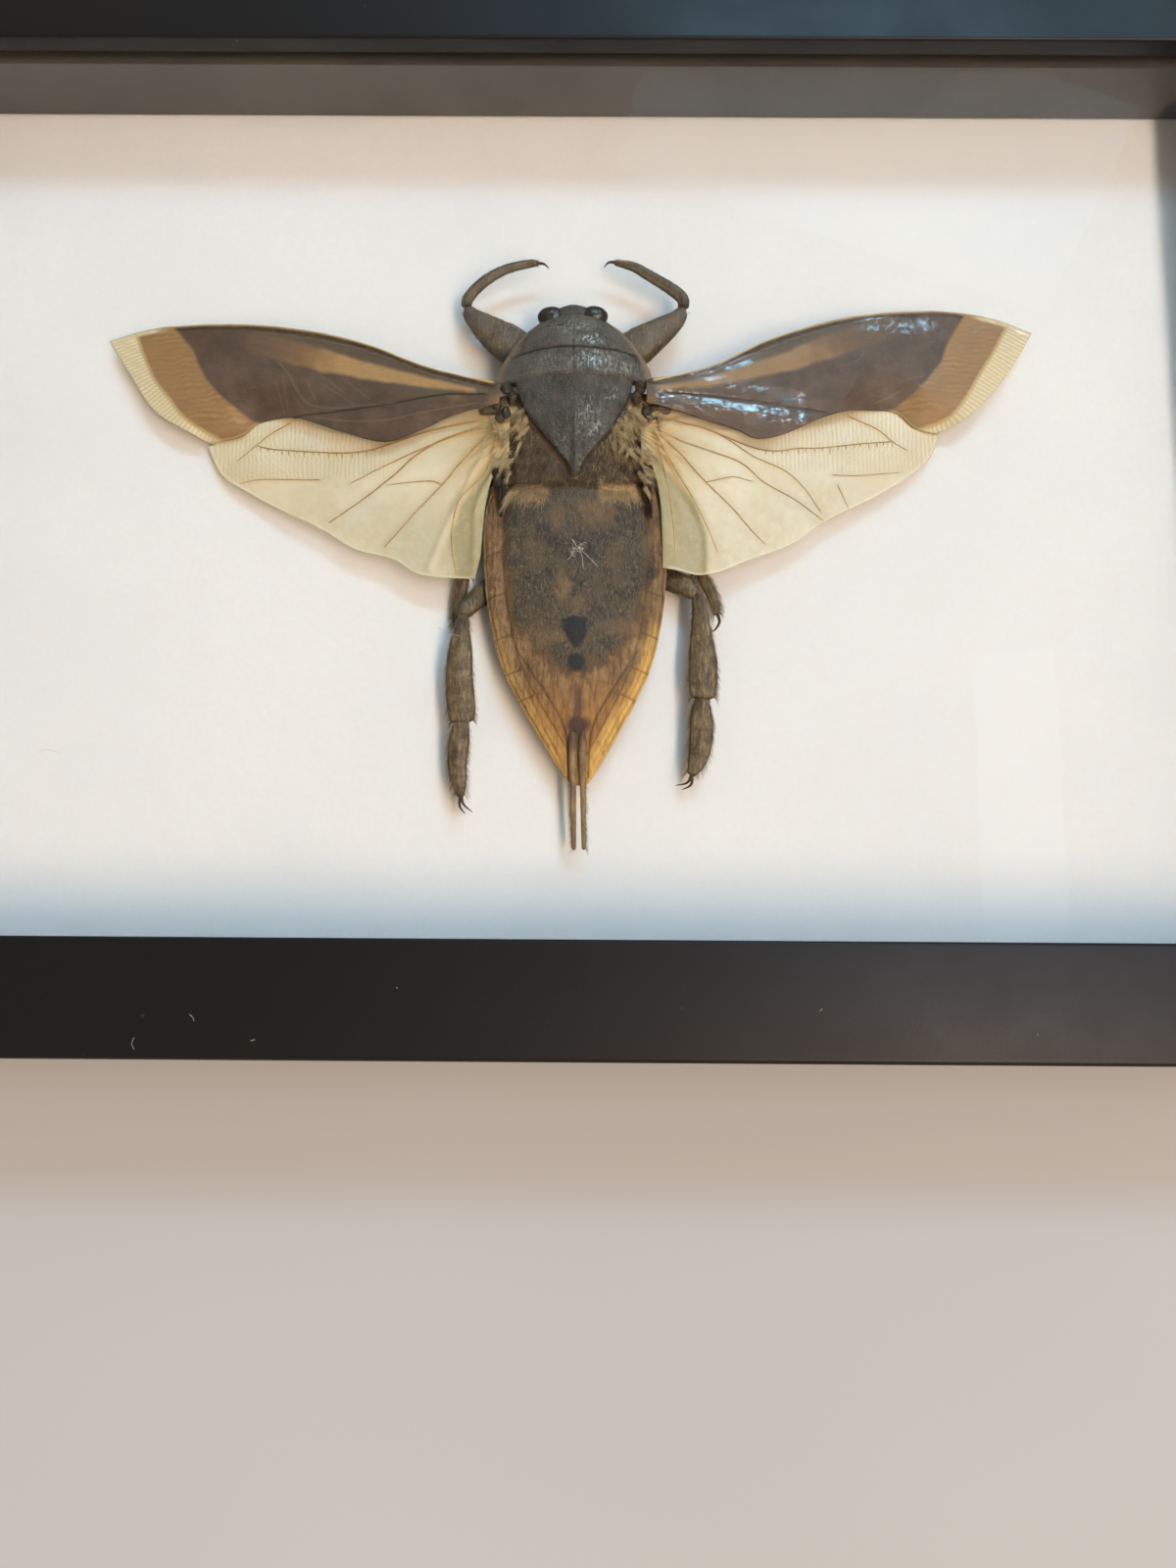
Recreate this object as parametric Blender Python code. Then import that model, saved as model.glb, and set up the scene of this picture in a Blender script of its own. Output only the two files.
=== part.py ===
# A giant water bug with spread wings, mounted on white board behind glass in a black box frame.
# The frame lies on its back: +Z points out of the glass, +Y from the bug's tail to its head.
# Sizes in this file are millimetres until a mesh is made from them.

import math

import bmesh
import bpy
from mathutils import Matrix, Vector

MM = 0.001
GAP = 0.3

# Box frame
FRAME_LENGTH = 216.0
FRAME_HEIGHT = 154.0
FRAME_DEPTH = 25.0
FACE_WIDTH = 15.0
LIP_THICKNESS = 2.9
LIP_OVERHANG = 3.3
INNER_CHAMFER = 0.5
OUTER_CHAMFER = 0.8
GLASS_THICKNESS = 2.0
SPACER_THICKNESS = 3.0
BOARD_THICKNESS = 1.7
PANEL_THICKNESS = 3.0
RECESS_DEPTH = 4.0

WINDOW = (FRAME_LENGTH / 2 - FACE_WIDTH, FRAME_HEIGHT / 2 - FACE_WIDTH)
REBATE = (WINDOW[0] + LIP_OVERHANG, WINDOW[1] + LIP_OVERHANG)
PANE = (REBATE[0] - GAP, REBATE[1] - GAP)
PANEL_TOP = RECESS_DEPTH + PANEL_THICKNESS
BOARD_TOP = PANEL_TOP + GAP + BOARD_THICKNESS
LIP_UNDERSIDE = FRAME_DEPTH - LIP_THICKNESS
GLASS_TOP = LIP_UNDERSIDE - GAP
GLASS_BOTTOM = GLASS_TOP - GLASS_THICKNESS

# Flat metal tabs that hold the back panel in
TAB_WIDTH = 8.0
TAB_THICKNESS = 0.6
TAB_OVER_PANEL = 7.5
TAB_IN_RAIL = 5.5
TAB_TOP = RECESS_DEPTH - GAP
TAB_SPACING = 90.0

# Saw-tooth hanger on the back panel
HANGER_Y = 50.0
HANGER_THICKNESS = 0.8
HANGER_HALF_LENGTH = 22.5
HANGER_EAR_HALF_HEIGHT = 2.5
HANGER_BRIDGE_START = 17.0
HANGER_BRIDGE_HALF_LENGTH = 14.5
HANGER_BRIDGE_TOP = 4.0
HANGER_BRIDGE_LIFT = 1.2
TOOTH_COUNT = 9
TOOTH_PITCH = 2.6
TOOTH_DEPTH = 1.3
NAIL_OFFSET = 19.8
NAIL_HEAD_RADIUS = 1.6
NAIL_HEAD_THICKNESS = 0.7
NAIL_SHANK_RADIUS = 0.6
NAIL_LENGTH = 3.6
NAIL_HOLE_RADIUS = 0.95

# The bug's own frame: its origin is on the board under the scutellum's tip, its -Y runs to the tail
BUG_OFFSET = (0.86, 0.0)
BUG_TURN = math.radians(1.15)
WING_THICKNESS = 0.35

# Wings slope down from their root; FALL is how far they drop by the end of their SPAN
FOREWING_ROOT_X = 11.0
FOREWING_SPAN = 56.0
FOREWING_ROOT_HEIGHT = 7.8
FOREWING_FALL = 5.4
FOREWING_ARCH = 0.3
FOREWING_EDGE_LIFT = 0.45
HINDWING_ROOT_X = 10.0
HINDWING_ROOT_Y = 9.0
HINDWING_SPAN = 43.0
HINDWING_REAR_LENGTH = 21.0
HINDWING_ROOT_HEIGHT = 6.3
HINDWING_FALL = 4.9
HINDWING_REAR_SINK = 1.2
PLEAT_HEIGHT = 0.22
PLEAT_COUNT = 5

# Wing outlines, seen from above, from the root outwards
FOREWING_LEFT = {
    "leading": [(-11.4, 15.4), (-21, 18.6), (-29.2, 22.4), (-37.5, 25), (-46, 26.5), (-54.3, 27),
                (-61.5, 26.8), (-67.6, 25.3)],
    "outer": [(-67.6, 25.3), (-64.2, 19.9), (-61.2, 15.2), (-57.9, 12.4), (-52.6, 9.7)],
    "trailing": [(-11.6, 12.4), (-17, 11.2), (-21, 9.6), (-26.6, 7.9), (-33.1, 9.8), (-40.5, 12.6),
                 (-45.3, 12.5), (-48, 10.5), (-52.6, 9.7)],
}
FOREWING_RIGHT = {
    "leading": [(11.2, 15.4), (19.5, 18), (27.7, 22.2), (36, 25.2), (42.3, 26.6), (48.6, 27.3),
                (54.9, 27.4), (61.2, 26.5), (66.5, 24.5)],
    "outer": [(66.5, 24.5), (62.3, 18), (56.9, 12), (51.8, 9.6)],
    "trailing": [(11.3, 12.2), (15.3, 10.9), (22.4, 8.9), (25.6, 7.6), (29.6, 8.4), (36.2, 11.4),
                 (41.6, 12.7), (46, 12.8), (48.6, 10.6), (51.8, 9.6)],
}
HINDWING_LEFT = {
    "leading": [(-10.6, 11.2), (-22, 12.5), (-36, 14), (-47.5, 13), (-53, 9.3)],
    "outer": [(-53, 9.3), (-51, 5.1), (-47.2, 2.3), (-42.1, -0.7), (-35.9, -3.9), (-31.4, -6.9),
              (-25.8, -8.6), (-22, -11), (-14.5, -12)],
    "trailing": [(-10.8, 8.8), (-11, 5), (-12.6, 2.4), (-13.3, -1), (-13.6, -4), (-13.9, -8.6),
                 (-14.5, -12)],
}
HINDWING_RIGHT = {
    "leading": [(10.6, 11), (22, 12.3), (36, 13.8), (46.5, 13.2), (52.6, 9.7)],
    "outer": [(52.6, 9.7), (50.2, 5.2), (43.4, 0.5), (35, -3.9), (30.8, -6.9), (25.1, -9.1),
              (18.1, -11.7), (12.9, -10.8)],
    "trailing": [(10.8, 8.6), (11, 5), (12.3, 2.4), (12.8, -1.5), (12.9, -6), (12.9, -10.8)],
}

# Body stations from head to tail: distance along the bug, then half width and heights over the board
THORAX_STATIONS = [
    # y, half width, underside, middle, top
    (24.0, 3.0, 1.6, 3.4, 5.0),
    (22.0, 3.8, 0.8, 3.4, 5.6),
    (19.5, 4.4, 0.4, 3.2, 5.6),
    (17.4, 5.2, 0.3, 3.2, 5.6),
    (15.3, 7.6, 0.3, 3.4, 5.6),
    (14.3, 10.8, 0.3, 5.6, 6.7),
    (12.4, 11.0, 0.3, 5.6, 6.8),
    (10.8, 10.3, 0.3, 5.0, 6.8),
    (7.5, 10.2, 0.3, 4.8, 6.7),
    (4.4, 10.3, 0.3, 4.8, 6.5),
    (1.7, 9.8, 0.3, 4.6, 6.2),
]
PRONOTUM_HALF_WIDTHS = [(25.0, 4.8), (23.1, 7.1), (20.5, 9.1), (17.8, 10.6), (15.9, 11.0), (15.0, 10.9)]
SCUTELLUM_HALF_WIDTHS = [(15.5, 8.3), (12.4, 7.3), (9.4, 5.5), (6.3, 3.1), (4.2, 1.4), (2.1, 0.25)]
ABDOMEN_HALF_WIDTHS = [(1.3, 11.5), (-1.4, 12.4), (-5, 12.8), (-9.8, 12.75), (-15, 12.4), (-20.5, 11.45),
                       (-25.2, 10.1), (-29.6, 8.0), (-33, 6.1), (-36.8, 3.9), (-39.5, 2.2), (-41, 1.0)]
ABDOMEN_WIDEST = 12.8
ABDOMEN_SHIFT = -0.2
ABDOMEN_TOP_LEVEL = 3.9
ABDOMEN_UNDER_LEVEL = 3.6
ABDOMEN_RIM_BOTTOM = 3.5
ABDOMEN_KEEL_BOTTOM = 0.3
ABDOMEN_CORNER_X = 11.1
PRONOTUM_ROWS = (25.0, 24.2, 23.2, 22.2, 21.5, 20.9, 20.3, 19.4, 18.2, 16.8, 15.5)
PRONOTUM_GROOVE_ROW = 20.9
PRONOTUM_GROOVE_DEPTH = 0.35
PRONOTUM_RIM_HEIGHT = 6.4
PRONOTUM_UNDERSIDE = 5.9
PRONOTUM_FRONT_CROWN = 1.5
PRONOTUM_REAR_CROWN = 3.0
PRONOTUM_FRONT_BULGE = 0.45
PRONOTUM_REAR_BULGE = 1.4
PRONOTUM_REAR_CURVE = 1.8
SCUTELLUM_ROWS = (15.4, 14.2, 12.4, 10.9, 9.4, 7.9, 6.3, 5.2, 4.2, 3.1, 2.1)
SCUTELLUM_RIM_HEIGHT = 7.9
SCUTELLUM_UNDERSIDE = 7.1
SCUTELLUM_DOME = 1.2
SCUTELLUM_KEEL = 0.18
EYE_CENTRE = (3.0, 26.6, 6.0)
EYE_RADII = (1.75, 1.05, 1.1)

# Leg stations from the body outwards: x, y, height over the board, width, thickness
FORELEG_LEFT = {
    "femur": [(-5.6, 20.6, 2.8, 2.2, 2.2), (-8.4, 22.8, 3.4, 5.6, 3.6), (-11.7, 25.1, 3.8, 4.7, 3.2),
              (-14.3, 27.2, 4.1, 2.8, 2.2), (-15.6, 28.8, 4.2, 1.5, 1.6)],
    "tibia": [(-15.5, 28.7, 4.3, 1.5, 1.6), (-15.1, 30.3, 4.4, 1.6, 1.5), (-12.8, 32.7, 4.5, 1.6, 1.3),
              (-9.8, 34.6, 4.3, 1.4, 1.1), (-6.3, 35.6, 4.1, 1.2, 1.0), (-4.9, 35.7, 4.0, 0.7, 0.8)],
    "claws": [[(-5.1, 35.7, 4.0), (-4.2, 35.7, 3.8), (-3.5, 35.3, 3.3)]],
}
FORELEG_RIGHT = {
    "femur": [(5.6, 20.4, 2.8, 2.2, 2.2), (8.2, 22.2, 3.4, 5.5, 3.6), (11.7, 24.4, 3.8, 4.5, 3.2),
              (14.6, 26.4, 4.1, 2.8, 2.2), (16.0, 28.2, 4.2, 1.5, 1.6)],
    "tibia": [(15.9, 28.1, 4.3, 1.5, 1.6), (15.7, 29.7, 4.4, 1.8, 1.5), (13.9, 31.3, 4.5, 1.8, 1.3),
              (11.1, 33.3, 4.3, 1.6, 1.1), (8.8, 34.8, 4.2, 1.4, 1.0), (6.0, 35.7, 4.0, 0.8, 0.8)],
    "claws": [[(6.2, 35.7, 4.0), (5.2, 35.8, 3.8), (4.5, 35.3, 3.3)]],
}
MIDLEG_LEFT = {
    "femur": [(-11.3, 4.4, 2.4, 2.0, 1.8), (-13.6, 2.8, 2.5, 2.6, 2.0), (-16.1, 0.5, 2.6, 1.8, 1.7)],
    "tibia": [(-16.0, 0.7, 2.6, 1.5, 1.5), (-16.1, -3.0, 2.6, 2.8, 1.3), (-15.9, -7.0, 2.7, 2.7, 1.2),
              (-15.8, -11.4, 2.8, 2.1, 1.1)],
    "tarsus": [(-15.8, -11.0, 2.8, 1.2, 1.0), (-16.4, -13.0, 2.1, 1.6, 1.0),
               (-17.0, -16.0, 1.3, 1.4, 0.9), (-17.2, -18.0, 1.2, 0.8, 0.7)],
    "claws": [[(-17.2, -17.7, 1.2), (-17.4, -18.8, 1.1), (-17.1, -19.6, 0.9)]],
}
MIDLEG_RIGHT = {
    "femur": [(11.3, 4.4, 2.4, 2.0, 1.8), (14.0, 3.2, 2.5, 2.6, 2.0), (17.1, 1.4, 2.6, 1.8, 1.7)],
    "tibia": [(17.0, 1.6, 2.6, 1.5, 1.5), (17.3, -3.0, 2.6, 2.8, 1.3), (17.4, -7.0, 2.7, 2.5, 1.2),
              (17.4, -11.2, 2.8, 2.0, 1.1)],
    "tarsus": [(17.3, -10.9, 2.8, 1.2, 1.0), (18.3, -12.8, 2.9, 1.5, 1.0), (19.2, -15.2, 3.0, 1.4, 0.9),
               (19.6, -17.2, 2.9, 0.9, 0.7)],
    "claws": [[(19.6, -16.9, 2.9), (19.9, -18.0, 2.7), (19.4, -18.9, 2.3), (18.8, -19.3, 2.0)]],
}
HINDLEG_LEFT = {
    "femur": [(-11.0, -10.3, 1.4, 2.2, 1.5), (-13.2, -13.2, 2.0, 3.0, 1.9), (-15.0, -15.4, 3.4, 2.6, 2.0),
              (-16.0, -17.3, 4.3, 1.6, 1.6)],
    "tibia": [(-15.8, -16.7, 4.2, 1.3, 1.5), (-16.0, -19.4, 4.5, 2.2, 1.5), (-16.2, -22.4, 4.8, 3.3, 1.3),
              (-16.3, -26.0, 4.8, 3.7, 1.3), (-16.1, -29.9, 4.5, 3.9, 1.2), (-15.9, -32.4, 4.3, 3.3, 1.1)],
    "tarsus": [(-16.0, -31.9, 4.2, 1.8, 1.2), (-16.4, -34.6, 4.0, 2.8, 1.2), (-16.7, -38.0, 3.7, 2.6, 1.2),
               (-16.4, -41.0, 3.4, 1.8, 1.0), (-16.2, -42.4, 3.3, 0.9, 0.8)],
    "claws": [[(-16.2, -42.0, 3.3), (-15.9, -43.3, 3.1), (-14.7, -44.4, 2.6)],
              [(-16.3, -42.0, 3.3), (-16.4, -43.6, 3.1), (-15.7, -44.6, 2.6)]],
}
HINDLEG_RIGHT = {
    "femur": [(11.0, -9.6, 1.4, 2.4, 1.5), (12.9, -11.5, 2.0, 3.2, 1.9), (15.1, -12.9, 3.1, 2.9, 2.1),
              (16.8, -14.7, 3.7, 1.8, 1.6)],
    "tibia": [(16.7, -14.3, 3.6, 1.3, 1.5), (17.0, -17.0, 3.8, 2.0, 1.5), (17.2, -20.6, 3.8, 3.1, 1.3),
              (17.3, -24.6, 3.8, 4.0, 1.3), (17.2, -29.4, 3.7, 3.7, 1.2)],
    "tarsus": [(17.1, -28.9, 3.5, 1.8, 1.2), (16.9, -31.8, 3.4, 3.1, 1.2), (16.8, -34.8, 3.3, 3.2, 1.2),
               (16.2, -37.8, 3.1, 2.6, 1.1), (15.3, -39.8, 3.0, 1.1, 0.9)],
    "claws": [[(15.5, -39.5, 3.0), (14.8, -40.7, 2.7), (13.2, -41.0, 2.2)],
              [(15.5, -39.5, 3.0), (15.3, -41.0, 2.7), (14.1, -41.6, 2.2)]],
}
STRAP_CENTRES = {"left": -0.85, "right": 0.5}
STRAP_STATIONS = [
    # y, height over the board, width
    (-33.0, 5.9, 0.9),
    (-37.0, 5.45, 0.9),
    (-41.0, 4.85, 0.85),
    (-45.5, 4.2, 0.75),
    (-49.9, 3.6, 0.6),
]
STRAP_THICKNESS = 0.5


def clear_scene():
    for obj in list(bpy.data.objects):
        bpy.data.objects.remove(obj)


def make_material(name, colour, roughness, metallic=0.0, transmission=0.0, alpha=1.0):
    material = bpy.data.materials.new(name)
    material.use_nodes = True
    shader = material.node_tree.nodes["Principled BSDF"]
    shader.inputs["Base Color"].default_value = (*colour, 1.0)
    shader.inputs["Roughness"].default_value = roughness
    shader.inputs["Metallic"].default_value = metallic
    shader.inputs["Transmission Weight"].default_value = transmission
    shader.inputs["Alpha"].default_value = alpha
    return material


def add_object(name, bm, material=None, parent=None, sharp_angle=None):
    """Makes an object from a mesh in millimetres, with its faces turned outwards."""
    bmesh.ops.recalc_face_normals(bm, faces=bm.faces)
    bmesh.ops.scale(bm, vec=(MM, MM, MM), verts=bm.verts)
    mesh = bpy.data.meshes.new(name)
    bm.to_mesh(mesh)
    bm.free()
    if sharp_angle:
        mesh.shade_smooth()
        mesh.set_sharp_from_angle(angle=math.radians(sharp_angle))
    obj = bpy.data.objects.new(name, mesh)
    bpy.context.scene.collection.objects.link(obj)
    if material:
        obj.data.materials.append(material)
    if parent:
        obj.parent = parent
    return obj


def hide_helper(obj):
    obj.hide_render = True
    obj.display_type = "WIRE"


def add_boolean(obj, helper, operation):
    modifier = obj.modifiers.new(operation.title(), "BOOLEAN")
    modifier.operation = operation
    modifier.solver = "EXACT"
    modifier.object = helper
    hide_helper(helper)


def box_mesh(low, high):
    bm = bmesh.new()
    size = Vector(high) - Vector(low)
    centre = (Vector(high) + Vector(low)) / 2
    matrix = Matrix.Translation(centre) @ Matrix.Diagonal((*size, 1.0))
    bmesh.ops.create_cube(bm, size=1.0, matrix=matrix)
    return bm


def smooth_curve(points, count):
    """Evenly spaced points on a smooth curve through the given ones, in two or three dimensions."""
    points = [Vector(point) for point in points]
    padded = [2 * points[0] - points[1], *points, 2 * points[-1] - points[-2]]
    fine = [points[0]]
    steps = 12
    for before, start, end, after in zip(padded, padded[1:], padded[2:], padded[3:]):
        for step in range(1, steps + 1):
            t = step / steps
            fine.append(0.5 * (2 * start + (end - before) * t
                               + (2 * before - 5 * start + 4 * end - after) * t ** 2
                               + (3 * start - before - 3 * end + after) * t ** 3))
    lengths = [0.0]
    for start, end in zip(fine, fine[1:]):
        lengths.append(lengths[-1] + (end - start).length)
    result = []
    index = 0
    for number in range(count):
        target = lengths[-1] * number / (count - 1)
        while index < len(fine) - 2 and lengths[index + 1] < target:
            index += 1
        part = (target - lengths[index]) / (lengths[index + 1] - lengths[index])
        result.append(fine[index].lerp(fine[index + 1], min(max(part, 0.0), 1.0)))
    return result


def interpolate(table, value):
    """The second column of a table of pairs, whose first column falls from row to row."""
    if value >= table[0][0]:
        return table[0][1]
    for (high, first), (low, second) in zip(table, table[1:]):
        if value >= low:
            part = (high - value) / (high - low)
            return first + (second - first) * part
    return table[-1][1]


def loft_mesh(rings, split_caps=False):
    """A closed skin over rings that hold the same number of points, capped at both ends.

    With split_caps, each ring is a row of upper points and then as many lower ones coming back, and
    the caps are strips from row to row, so that an end may be curved.
    """
    bm = bmesh.new()
    rows = [[bm.verts.new(point) for point in ring] for ring in rings]
    for row, following in zip(rows, rows[1:]):
        for index in range(len(row)):
            other = (index + 1) % len(row)
            bm.faces.new((row[index], row[other], following[other], following[index]))
    for row in (rows[0], rows[-1]):
        if split_caps:
            for index in range(len(row) // 2 - 1):
                bm.faces.new((row[index], row[index + 1], row[-2 - index], row[-1 - index]))
        else:
            bm.faces.new(row)
    return bm


def tube_mesh(stations, sides=8):
    """A limb along stations of x, y, z, width and thickness, wide way flat."""
    rings = []
    places = [Vector(station[:3]) for station in stations]
    for index, station in enumerate(stations):
        ahead = places[min(index + 1, len(places) - 1)]
        behind = places[max(index - 1, 0)]
        direction = (ahead - behind).normalized()
        side = direction.cross(Vector((0, 0, 1))).normalized()
        upward = side.cross(direction)
        ring = []
        for step in range(sides):
            angle = math.tau * step / sides
            ring.append(places[index]
                        + side * math.cos(angle) * station[3] / 2
                        + upward * math.sin(angle) * station[4] / 2)
        rings.append(ring)
    return loft_mesh(rings)


# Frame

def make_rail(name, half_length, offset, turn, material):
    """One mitred rail along +X, its outer side at +Y before it is turned about Z."""
    profile = [
        (LIP_OVERHANG, 0),
        (FACE_WIDTH, 0),
        (FACE_WIDTH, FRAME_DEPTH - OUTER_CHAMFER),
        (FACE_WIDTH - OUTER_CHAMFER, FRAME_DEPTH),
        (INNER_CHAMFER, FRAME_DEPTH),
        (0, FRAME_DEPTH - INNER_CHAMFER),
        (0, LIP_UNDERSIDE),
        (LIP_OVERHANG, LIP_UNDERSIDE),
    ]
    mitre_gap = GAP / 2 * math.sqrt(2)
    rings = []
    for side in (-1, 1):
        rings.append([(side * (half_length + outward - mitre_gap), offset + outward, height)
                      for outward, height in profile])
    rail = add_object(name, loft_mesh(rings), material)
    rail.rotation_euler.z = turn
    return rail


def make_frame(black, panel_material, board_material, glass_material, metal):
    rails = {}
    for name, along, across, quarter_turns in (
        ("rail_top", 0, 1, 0), ("rail_left", 1, 0, 1), ("rail_bottom", 0, 1, 2), ("rail_right", 1, 0, 3),
    ):
        turn = quarter_turns * math.pi / 2
        rails[name] = make_rail(name, WINDOW[along], WINDOW[across], turn, black)
    add_object("glass", box_mesh((-PANE[0], -PANE[1], GLASS_BOTTOM), (PANE[0], PANE[1], GLASS_TOP)),
               glass_material)
    add_object("mount_board", box_mesh((-PANE[0], -PANE[1], PANEL_TOP + GAP), (PANE[0], PANE[1], BOARD_TOP)),
               board_material)
    panel = add_object("back_panel",
                       box_mesh((-PANE[0], -PANE[1], RECESS_DEPTH), (PANE[0], PANE[1], PANEL_TOP)),
                       panel_material)
    make_spacers(black)
    make_tabs(rails, metal)
    make_hanger(panel, metal)


def make_spacers(material):
    low = BOARD_TOP + GAP
    high = GLASS_BOTTOM - GAP
    inner = (PANE[0] - SPACER_THICKNESS, PANE[1] - SPACER_THICKNESS)
    for name, side in (("spacer_top", 1), ("spacer_bottom", -1)):
        edges = sorted((side * inner[1], side * PANE[1]))
        add_object(name, box_mesh((-PANE[0], edges[0], low), (PANE[0], edges[1], high)), material)
    for name, side in (("spacer_right", 1), ("spacer_left", -1)):
        edges = sorted((side * inner[0], side * PANE[0]))
        end = inner[1] - GAP
        add_object(name, box_mesh((edges[0], -end, low), (edges[1], end, high)), material)


def make_tabs(rails, material):
    """Six thin tabs, each pushed into a slot in a rail and lying over the back panel."""
    places = [
        ("rail_top", REBATE[1], -TAB_SPACING / 2),
        ("rail_top", REBATE[1], TAB_SPACING / 2),
        ("rail_left", REBATE[0], 0.0),
        ("rail_bottom", REBATE[1], -TAB_SPACING / 2),
        ("rail_bottom", REBATE[1], TAB_SPACING / 2),
        ("rail_right", REBATE[0], 0.0),
    ]
    for number, (rail_name, wall, along) in enumerate(places, 1):
        rail = rails[rail_name]
        low = TAB_TOP - TAB_THICKNESS
        tab = add_object(f"tab_{number}",
                         box_mesh((along - TAB_WIDTH / 2, wall - TAB_OVER_PANEL, low),
                                  (along + TAB_WIDTH / 2, wall + TAB_IN_RAIL, TAB_TOP)),
                         material)
        slot = add_object(f"slot_cutter_{number}",
                          box_mesh((along - TAB_WIDTH / 2 - GAP, wall - 1.0, low - GAP),
                                   (along + TAB_WIDTH / 2 + GAP, wall + TAB_IN_RAIL + GAP, TAB_TOP + GAP)))
        for obj in (tab, slot):
            obj.rotation_euler = rail.rotation_euler
        add_boolean(rail, slot, "DIFFERENCE")


def hanger_outline():
    """Stations of x, lower y and upper y along the hanger, with saw teeth under its raised middle."""
    ear = HANGER_EAR_HALF_HEIGHT
    stations = [(-HANGER_HALF_LENGTH, -ear, ear), (-HANGER_BRIDGE_START, -ear, ear),
                (-HANGER_BRIDGE_HALF_LENGTH, -ear, HANGER_BRIDGE_TOP)]
    for step in range(2 * TOOTH_COUNT + 1):
        x = (step - TOOTH_COUNT) * TOOTH_PITCH / 2
        lower = -ear + (TOOTH_DEPTH if step % 2 else 0.0)
        stations.append((x, lower, HANGER_BRIDGE_TOP))
    stations += [(-x, lower, upper) for x, lower, upper in reversed(stations[:3])]
    return stations


def make_hanger(panel, material):
    top = RECESS_DEPTH - GAP
    rings = []
    for x, lower, upper in hanger_outline():
        lift = HANGER_BRIDGE_LIFT if abs(x) <= HANGER_BRIDGE_HALF_LENGTH else 0.0
        high = top - lift
        low = high - HANGER_THICKNESS
        rings.append([(x, HANGER_Y + lower, low), (x, HANGER_Y + upper, low),
                      (x, HANGER_Y + upper, high), (x, HANGER_Y + lower, high)])
    hanger = add_object("hanger", loft_mesh(rings), material)
    for side_name, side in (("left", -1), ("right", 1)):
        centre = Vector((side * NAIL_OFFSET, HANGER_Y, 0))
        head_top = top - HANGER_THICKNESS - GAP
        shank_end = head_top + NAIL_LENGTH
        hole = add_object(f"nail_hole_{side_name}",
                          turned_mesh(centre, [(0.0, NAIL_HOLE_RADIUS),
                                               (shank_end + GAP, NAIL_HOLE_RADIUS)]))
        add_boolean(hanger, hole, "DIFFERENCE")
        add_boolean(panel, hole, "DIFFERENCE")
        add_object(f"nail_{side_name}",
                   turned_mesh(centre, [(head_top - NAIL_HEAD_THICKNESS, NAIL_HEAD_RADIUS * 0.7),
                                        (head_top - NAIL_HEAD_THICKNESS / 2, NAIL_HEAD_RADIUS),
                                        (head_top, NAIL_HEAD_RADIUS),
                                        (head_top + 0.01, NAIL_SHANK_RADIUS),
                                        (shank_end, NAIL_SHANK_RADIUS)]),
                   material, sharp_angle=40)


def turned_mesh(centre, profile, sides=12):
    """A round piece about a vertical axis, from pairs of height and radius, lowest first."""
    rings = []
    for height, radius in profile:
        ring = []
        for step in range(sides):
            angle = math.tau * step / sides
            ring.append(centre + Vector((radius * math.cos(angle), radius * math.sin(angle), height)))
        rings.append(ring)
    return loft_mesh(rings)


# Bug

def forewing_height(place, across):
    """The forewing slopes down to its tip, is slightly arched, and lies a little higher in front."""
    reach = min(max((abs(place.x) - FOREWING_ROOT_X) / FOREWING_SPAN, 0.0), 1.0)
    arch = FOREWING_ARCH * math.sin(math.pi * across) + FOREWING_EDGE_LIFT * (0.5 - across)
    return FOREWING_ROOT_HEIGHT - FOREWING_FALL * reach ** 0.85 + arch


def hindwing_height(place, across):
    """The hindwing slopes down from its root, sinks towards its rear corner, and is lightly pleated."""
    reach = min(max((abs(place.x) - HINDWING_ROOT_X) / HINDWING_SPAN, 0.0), 1.0)
    rearward = max((HINDWING_ROOT_Y - place.y) / HINDWING_REAR_LENGTH, 0.0)
    pleats = PLEAT_HEIGHT * reach ** 0.5 * math.cos(across * PLEAT_COUNT * math.tau)
    sink = HINDWING_FALL * reach ** 0.9 + HINDWING_REAR_SINK * rearward * (1.0 - reach)
    return HINDWING_ROOT_HEIGHT - sink + pleats


def make_wing(name, outline, height, material, parent, spans, chords):
    """A thin plate over the patch between the four edges of an outline."""
    leading = smooth_curve(outline["leading"], spans + 1)
    trailing = smooth_curve(outline["trailing"], spans + 1)
    root = smooth_curve([outline["leading"][0], outline["trailing"][0]], chords + 1)
    outer = smooth_curve(outline["outer"], chords + 1)
    bm = bmesh.new()
    rows = []
    for i in range(spans + 1):
        s = i / spans
        row = []
        for j in range(chords + 1):
            t = j / chords
            corners = (leading[0].lerp(trailing[0], t)).lerp(leading[-1].lerp(trailing[-1], t), s)
            place = leading[i].lerp(trailing[i], t) + root[j].lerp(outer[j], s) - corners
            row.append(bm.verts.new((place.x, place.y, height(place, t))))
        rows.append(row)
    for row, following in zip(rows, rows[1:]):
        for j in range(chords):
            bm.faces.new((row[j], row[j + 1], following[j + 1], following[j]))
    wing = add_object(name, bm, material, parent, sharp_angle=60)
    turn_upwards(wing)
    plate = wing.modifiers.new("Thickness", "SOLIDIFY")
    plate.thickness = WING_THICKNESS * MM
    plate.offset = -1.0
    return wing


def turn_upwards(obj):
    if obj.data.polygons[0].normal.z < 0:
        obj.data.flip_normals()


def make_body_loft(name, rings, material, parent, split_caps=False):
    return add_object(name, loft_mesh(rings, split_caps), material, parent, sharp_angle=50)


def rounded_ring(y, half_width, underside, middle, top, sides=16, corner=0.8):
    ring = []
    for step in range(sides):
        angle = math.tau * step / sides
        across = math.cos(angle)
        up = math.sin(angle)
        reach = top - middle if up > 0 else middle - underside
        ring.append((math.copysign(abs(across) ** corner, across) * half_width,
                     y,
                     middle + math.copysign(abs(up) ** corner, up) * reach))
    return ring


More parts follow.
